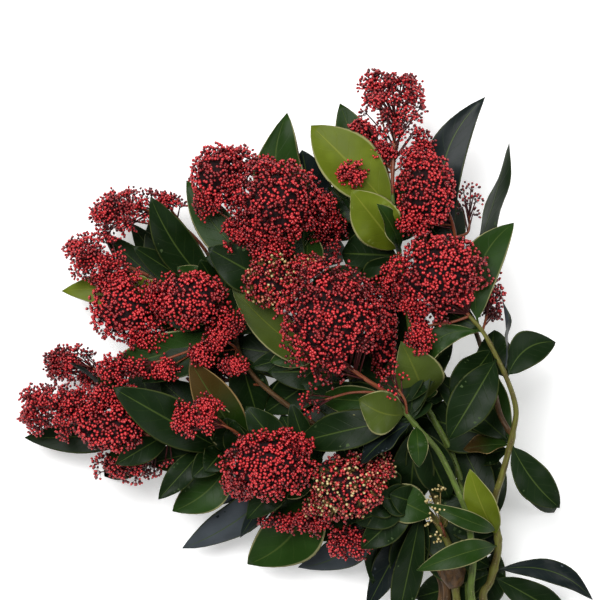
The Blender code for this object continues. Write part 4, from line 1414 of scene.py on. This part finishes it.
    def forks(self, hubs: Array) -> Array:
        """Where the branch to each hub leaves the stalk.

        It is back along the stalk by 0.7 of the hub's distance from the head's axis, less how far the hub is
        ahead, but never past the stalk's ends.

        Args:
            hubs: Where the branches end.

        Returns:
            Where they start.
        """
        ahead = (hubs - self.middle) @ self.axis
        aside = np.linalg.norm(hubs - self.middle - ahead[:, None] * self.axis, axis=1)
        length = self.stalk.length
        back = np.clip(0.7 * aside - ahead, 0.0, max(0.0, (length - self.bare) * 0.9))
        return self.stalk.at(length - back)

    def inside(self) -> Skin:
        """Painted shade in the heart of a dense head: a near-black lumpy ball at about 0.6 of its reach,
        where the stalks lie in shadow.
        """
        return lumpy_ball(self.middle, self.head.reach, share=0.60, lump=0.05)


@dataclass
class Bunch:
    """The whole bunch: the lines of its shoots, and the sheaves that its skins are gathered in.

    Leaves grown by rule have lengths and widths in mm, leans in degrees, and a ceiling and distances in
    steps. The other sizes are in metres.
    """

    twig_end: float = 0.0020
    ripples: tuple[float, float] = (0.0008, 0.0030)
    own_twist: float = 10.0
    filler_places: tuple[float, float] = (0.15, 0.9)
    filler_leans: tuple[float, float] = (28, 46)
    filler_lengths: tuple[float, float] = (66, 92)
    filler_widths: tuple[float, float] = (27, 34)
    filler_fan: float = 200.0
    filler_seed: int = 1
    extra_leans: tuple[float, float] = (20, 50)
    extra_lengths: tuple[float, float] = (46, 70)
    extra_widths: tuple[float, float] = (20, 30)
    extra_ceiling: float = 88.0
    extra_mid_share: float = 0.15
    open_margin: float = 5.0
    head_distances: tuple[float, float] = (62, 96)
    stem_sides: int = 14
    ring_spacing: float = 0.0026
    stalk_overlap: float = 0.0012
    fork_share: float = 0.3
    stalk_sag: float = 0.004
    joint_shares: tuple[float, ...] = (0.15, 0.55, 0.9)
    joint_reach: float = 0.0022
    joint_height: float = 0.0007
    joint_radius: float = 0.003
    cut_depth: float = 0.0004
    cut_share: float = 0.86
    cut_sides: int = 24
    own_tint_share: float = 0.3
    mixed_own_tint_share: float = 0.75
    pedicel_bite: float = 0.1
    pedicel_radius: float = 0.34 * MM
    branch_radius: float = 0.75 * MM
    lines: dict[str, GrowthLine] = field(default_factory=dict)
    spans: dict[str, tuple[GrowthLine, float, float]] = field(default_factory=dict)

    def __post_init__(self) -> None:
        """Make an empty sheaf for each finish."""
        self.leaves = {t: Sheaf(f"leaves_{t.value}", LEAF_FINISHES[t], "leaf_green") for t in Tone}
        self.bark = {b: Sheaf(f"stems_{b.value}", BARK_FINISHES[b], "stem_wood") for b in Bark}
        self.buds = {t: Sheaf(f"buds_{t.value}", BUD_FINISHES[t], "bud_red") for t in Tint}
        self.buds[Tint.CREAM].slot = "bud_green"
        self.buds[Tint.CORAL].slot = "bud_mixed"
        self.peduncles = Sheaf("flower_stalks", PEDUNCLE, "bud_red")
        self.pedicels = Sheaf("bud_stalks_maroon", PEDICEL, "bud_red")
        self.green_pedicels = Sheaf("bud_stalks_green", GREEN_PEDICEL, "bud_green")
        self.cuts = Sheaf("cut_ends", HEARTWOOD, "stem_wood")
        # A sheaf for the near-black balls of painted shade in dense heads.
        self.painted_shade_balls = Sheaf("head_painted_shade_balls", SHADE, "bud_red")

    def radius_of(self, shoot: Shoot) -> Callable[[Array], Array]:
        """How a shoot tapers: a straight line from its foot's radius to its tip's.

        Args:
            shoot: The shoot.

        Returns:
            A function from distances along the shoot to its radii, all in metres.
        """
        foot, tip = shoot.radii
        length = self.lines[shoot.name].length
        return lambda walked: MM * (foot + (tip - foot) * walked / length)

    def lay(self, shoot: Shoot) -> None:
        """Lay a shoot's line, and note where each of its stretches starts and stops.

        Args:
            shoot: The shoot, whose host is laid already.
        """
        points = place(np.array(shoot.path))
        if shoot.host:
            host = self.lines[shoot.host]
            points = np.vstack([host.at(host.distance_of(shoot.host_point)), points])
        line = GrowthLine(points)
        self.lines[shoot.name] = line
        start = 0.0
        for stretch in shoot.stretches:
            stop = line.distance_of(stretch.last)
            self.spans[stretch.node] = (line, start, stop)
            start = stop

    def grow_stem(self, shoot: Shoot) -> None:
        """A shoot's woody and leafy stretches as one skin of bark, and its flower stalk as another.

        Args:
            shoot: The shoot.
        """
        woody = [stretch for stretch in shoot.stretches if stretch.kind is not Kind.PANICLE]
        stalk = [stretch for stretch in shoot.stretches if stretch.kind is Kind.PANICLE]
        if woody:
            line, start, _ = self.spans[woody[0].node]
            stop = self.spans[woody[-1].node][2] + (self.stalk_overlap if stalk else 0.0)
            twigs = [self.spans[s.node][1:] for s in woody if s.kind is Kind.LEAVES]
            swells = [first + share * (last - first) for first, last in twigs for share in self.joint_shares]
            skin = self.tube(shoot, line, start, stop, swells)
            for stretch in woody:
                self.bark[shoot.bark].add(stretch.node, skin if stretch is woody[0] else EMPTY_SKIN)
            if not shoot.host:
                self.cut_end(shoot, line, woody[0].node)
            if shoot.name == "lower":
                burl = lumpy_ball(place(BURL.middle), BURL.reach, share=0.95, lump=0.09)
                self.bark[Bark.BROWN].add(woody[0].node, burl)
        for stretch in stalk:
            line, start, stop = self.spans[stretch.node]
            self.peduncles.add(stretch.node, self.tube(shoot, line, start, stop, []))

    def tube(self, shoot: Shoot, line: GrowthLine, start: float, stop: float, swells: list[float]) -> Skin:
        """A tapering tube with the low relief of bark.

        At a distance s and a turn a the radius is the taper times 1 + 0.05 sin(3a + 70 s) sin(190 s)
        + 0.035 sin(5a - 130 s). At each leaf joint it swells by exp(-((s - s0) / 2.2 mm)^2) of 0.7 mm, less
        where the shoot is thinner than 3 mm. The rings are set by the part of the upright that is square
        to the line.

        Args:
            shoot: Whose taper to take.
            line: The line it follows.
            start: Where it starts along the line.
            stop: Where it stops.
            swells: Where its leaf joints are.

        Returns:
            The tube's skin.
        """
        count = max(3, int((stop - start) / self.ring_spacing) + 1)
        walked = np.linspace(start, stop, count)
        forward = line.tangent(walked)
        side, other = square_pair(forward, (0.2, 0.1, 1.0))
        s, a = walked[:, None], turns(self.stem_sides)[None, :]
        relief = 1 + 0.05 * np.sin(3 * a + 70 * s) * np.sin(190 * s) + 0.035 * np.sin(5 * a - 130 * s)
        taper = self.radius_of(shoot)(s)
        swell = sum((np.exp(-(((s - at) / self.joint_reach) ** 2)) for at in swells), np.zeros_like(s))
        radius = taper * relief + self.joint_height * np.minimum(swell, 1.2) * (taper / self.joint_radius)
        rings = line.at(walked)[:, None] + wheel(side[:, None], other[:, None], a) * radius[..., None]
        return skin_over(keep_above(rings), np.linspace(0, 1, self.stem_sides + 1), walked)

    def cut_end(self, shoot: Shoot, line: GrowthLine, node: str) -> None:
        """The pale wood of a cut foot: a flat disc that just stands out of the bark.

        Args:
            shoot: The shoot that is cut.
            line: Its line.
            node: The node of its first stretch.
        """
        radius = shoot.radii[0] * MM * self.cut_share
        forward = line.tangent(0.0)
        side, other = square_pair(forward, (0.2, 0.1, 1.0))
        spokes = radius * wheel(side, other, turns(self.cut_sides))
        rings = np.stack([line.at(0.0) + depth * forward + spokes for depth in (-self.cut_depth, MM)])
        around, along = np.linspace(0, 1, self.cut_sides + 1), np.array([0.0, MM])
        self.cuts.add(node, skin_over(keep_above(rings), around, along))

    def foot_of(self, node: str, along: float) -> tuple[GrowthLine, float]:
        """A stretch's line, and how far along it a leaf stands that is a share of the way up the stretch."""
        line, start, stop = self.spans[node]
        return line, start + self.twig_end + (stop - start - 2 * self.twig_end) * along

    def grow_leaf(self, node: str, leaf: Leaf, dice: random.Random) -> None:
        """One leaf on a stretch, with a ripple of its own.

        Args:
            node: The stretch's node.
            leaf: The leaf.
            dice: Where its ripple and a little twist are drawn from.
        """
        line, walked = self.foot_of(node, leaf.along)
        blade = Blade(
            root=line.at(walked),
            tip=place(leaf.tip),
            width=leaf.width * MM,
            roll=leaf.roll,
            arch=leaf.arch * STEP,
            sway=leaf.sway * STEP,
            twist=leaf.twist + dice.uniform(-self.own_twist, self.own_twist),
            ripple=dice.uniform(*self.ripples),
            phase=dice.random(),
        )
        self.leaves[leaf.tone].add(node, blade.skin())

    def fillers(self, stretch: Stretch) -> list[Leaf]:
        """Leaves by rule: first the hidden ones that the solid has too, then smaller ones all round.

        The first fan out below the twig over a given angle, evenly but for a little chance, and lean
        forward. The others go on by the golden angle round the whole twig, kept under a ceiling, and only
        those stay whose tips end under or between heads. None stays that would cover an open spot.

        Args:
            stretch: The leafy stretch.

        Returns:
            Its leaves by rule.
        """
        dice = random.Random(f"{stretch.node} {self.filler_seed}")
        found = []
        for number in range(stretch.fillers + stretch.extras):
            extra = number >= stretch.fillers
            along = dice.uniform(*self.filler_places)
            line, walked = self.foot_of(stretch.node, along)
            forward = line.tangent(walked)
            side = across(forward, np.cross(forward, UPRIGHT))
            down = np.cross(side, forward) * (-1 if np.cross(side, forward)[2] > 0 else 1)
            if extra:
                turn = GOLDEN_ANGLE * number + dice.uniform(-0.3, 0.3)
                lean = math.radians(dice.uniform(*self.extra_leans))
                length = dice.uniform(*self.extra_lengths) * MM
            else:
                share = (number + 0.5) / stretch.fillers - 0.5
                turn = math.radians(self.filler_fan * share) + dice.uniform(-0.2, 0.2)
                lean = math.radians(dice.uniform(*self.filler_leans))
                length = dice.uniform(*self.filler_lengths) * MM
            outward = math.cos(turn) * down + math.sin(turn) * side
            heading = math.cos(lean) * outward + math.sin(lean) * forward
            foot = line.at(walked) / STEP + ORIGIN_STEPS
            tip = (line.at(walked) + heading * length) / STEP + ORIGIN_STEPS
            tip[2] = min(max(tip[2], 0.0), self.extra_ceiling if extra else tip[2])
            apart = np.sort(np.linalg.norm(HEAD_SPOTS - tip[:2], axis=1))
            width = dice.uniform(*(self.extra_widths if extra else self.filler_widths))
            tone = Tone.MID if extra and dice.random() < self.extra_mid_share else Tone.DARK
            blade = foot[:2] + np.linspace(0.35, 1.0, 5)[:, None] * (tip[:2] - foot[:2])
            clear = np.linalg.norm(OPEN_SPOTS - blade[:, None], axis=2).min() > width / 2 + self.open_margin
            if clear and (not extra or (apart[:2] < self.head_distances).all()):
                found.append(Leaf(along, tuple(tip), width, 0.0, 5.0, 0.0, tone))
        return found

    def grow_panicle(self, stretch: Stretch) -> None:
        """The sprays of every head of a panicle, by the rule that its solid's clubs follow.

        Args:
            stretch: The flowering stretch.
        """
        dice = random.Random(stretch.node)
        line, start, stop = self.spans[stretch.node]
        for number, head in enumerate((*stretch.heads, *MORE_HEADS.get(stretch.node, ()))):
            middle = place(head.middle)
            if number:
                fork = line.at(start + (stop - start) * self.fork_share)
                bend = (fork + middle) / 2 - (0, 0, self.stalk_sag)
                stalk = GrowthLine(np.stack([fork, bend, middle]))
                points = stalk.points
                radii = np.full(len(points) - 1, MM)
                self.peduncles.add(stretch.node, BRANCH_FORM.grow(points[:-1], points[1:], radii))
                foot, bare = fork, 0.0
            else:
                stalk, foot, bare = line, line.at(start), start
            chance = random.Random(f"{stretch.node} buds {number}")
            grower = HeadGrower(head, middle, units(middle - foot), stalk, bare, dice, chance)
            self.deal(stretch, grower.dense() if head.dense else grower.open())
            # Each dense head gets a near-black ball of painted shade in its heart.
            if head.dense:
                self.painted_shade_balls.add(stretch.node, grower.inside())

    def deal(self, stretch: Stretch, sprays: Sprays) -> None:
        """Deal the sprays of a head out among the tints of its panicle, and give each its stalks.

        Some buds take a tint of their own, and the others their spray's.

        Args:
            stretch: The flowering stretch.
            sprays: The sprays of one of its heads.
        """
        dice = np.random.default_rng(sum(map(ord, stretch.node)))
        tints, chances = zip(*stretch.mix.value)
        chances = np.array(chances) / sum(chances)
        by_spray = dice.choice(len(tints), sprays.count, p=chances)[sprays.of_bud]
        by_bud = dice.choice(len(tints), len(sprays.feet), p=chances)
        own_share = self.mixed_own_tint_share if stretch.mix is Mix.MIXED else self.own_tint_share
        dealt = np.where(dice.random(len(sprays.feet)) < own_share, by_bud, by_spray)
        for index, tint in enumerate(tints):
            mine = dealt == index
            if mine.any():
                buds = BUD_FORM.grow(sprays.feet[mine], sprays.tips[mine], sprays.radii[mine])
                self.buds[tint].add(stretch.node, buds)
        stalks = self.green_pedicels if stretch.mix in (Mix.MIXED, Mix.GREEN) else self.pedicels
        thin = np.full(len(sprays.feet), self.pedicel_radius)
        ends = sprays.feet + (sprays.tips - sprays.feet) * self.pedicel_bite
        stalks.add(stretch.node, PEDICEL_FORM.grow(sprays.joints[sprays.of_bud], ends, thin))
        thick = np.full(len(sprays.starts), self.branch_radius)
        stalks.add(stretch.node, BRANCH_FORM.grow(sprays.starts, sprays.joints, thick))

    def build(self) -> int:
        """Join every sheaf into its pieces.

        Returns:
            How many triangles there are in all.
        """
        sheaves = [*self.leaves.values(), *self.bark.values(), *self.buds.values()]
        sheaves += [self.peduncles, self.pedicels, self.green_pedicels, self.cuts, self.painted_shade_balls]
        return sum(sheaf.build() for sheaf in sheaves)


@dataclass
class Studio:
    """The pale table, the soft lights and the camera that looks straight down."""

    view_width: float = 600 * STEP
    view_height: float = 80 * STEP
    lens: float = 300.0
    sensor: float = 36.0
    table_size: float = 8.0
    table_drop: float = 0.0006
    room_light: float = 0.15
    aim: tuple[float, float, float] = (0, 0, 0.06)

    def set_up(self) -> None:
        """Put everything in its place."""
        self.lay_table()
        self.hang_lights()
        self.point_camera()

    def lay_table(self) -> None:
        """A flat square under the bunch."""
        half = self.table_size / 2
        corners = [(-half, -half, 0), (half, -half, 0), (half, half, 0), (-half, half, 0)]
        mesh = bpy.data.meshes.new("table")
        mesh.from_pydata(corners, [], [(0, 1, 2, 3)])
        table = bpy.data.objects.new("table", mesh)
        table.location.z = -self.table_drop
        table.data.materials.append(TABLE.material())
        bpy.context.scene.collection.objects.link(table)

    def hang_lights(self) -> None:
        """A broad soft light from the upper left, a weaker one from the right, and a pale room."""
        self.area("key", (-0.90, 1.25, 2.95), 2.0, 136.0)
        self.area("fill", (2.30, 0.20, 1.90), 1.4, 28.0)
        self.area("low", (0.20, -2.30, 1.70), 1.4, 18.0)
        world = bpy.data.worlds.new("room")
        bpy.context.scene.world = world
        world.use_nodes = True
        background = world.node_tree.nodes["Background"].inputs
        background["Color"].default_value = (1.0, 1.0, 1.0, 1.0)
        background["Strength"].default_value = self.room_light
        bpy.context.scene.view_settings.view_transform = "Standard"

    def area(self, name: str, spot: Steps, size: float, power: float) -> None:
        """One square area light, aimed at the middle of the bunch.

        Args:
            name: The light's name.
            spot: Where it hangs, in metres.
            size: How wide it is, in metres.
            power: Its power in watts.
        """
        light = bpy.data.lights.new(name, "AREA")
        light.shape = "SQUARE"
        light.size = size
        light.energy = power
        lamp = bpy.data.objects.new(name, light)
        lamp.location = spot
        lamp.rotation_mode = "QUATERNION"
        lamp.rotation_quaternion = (Vector(self.aim) - Vector(spot)).to_track_quat("-Z", "Y")
        bpy.context.scene.collection.objects.link(lamp)

    def point_camera(self) -> None:
        """A long lens over the photograph's middle, so far up that its view is as wide as the photograph."""
        data = bpy.data.cameras.new("camera")
        data.lens = self.lens
        data.sensor_width = self.sensor
        data.clip_end = 50.0
        camera = bpy.data.objects.new("camera", data)
        middle = place((0.0, 0.0, 0.0))
        distance = self.view_width * self.lens / self.sensor
        camera.location = (middle[0], middle[1], self.view_height + distance)
        bpy.context.scene.collection.objects.link(camera)
        bpy.context.scene.camera = camera


def main() -> None:
    """Grow the bunch, join its pieces and set up the studio round it."""
    logging.basicConfig(level=logging.INFO, format="%(name)s: %(message)s")
    bunch = Bunch()
    for shoot in SHOOTS:
        bunch.lay(shoot)
    for shoot in SHOOTS:
        bunch.grow_stem(shoot)
        for stretch in shoot.stretches:
            dice = random.Random(f"{stretch.node} ripple")
            if stretch.kind is Kind.LEAVES:
                for leaf in (*stretch.leaves, *bunch.fillers(stretch)):
                    bunch.grow_leaf(stretch.node, leaf, dice)
            elif stretch.kind is Kind.PANICLE:
                bunch.grow_panicle(stretch)
    LOG.info("%d triangles in all", bunch.build())
    Studio().set_up()


if __name__ == "__main__":
    main()
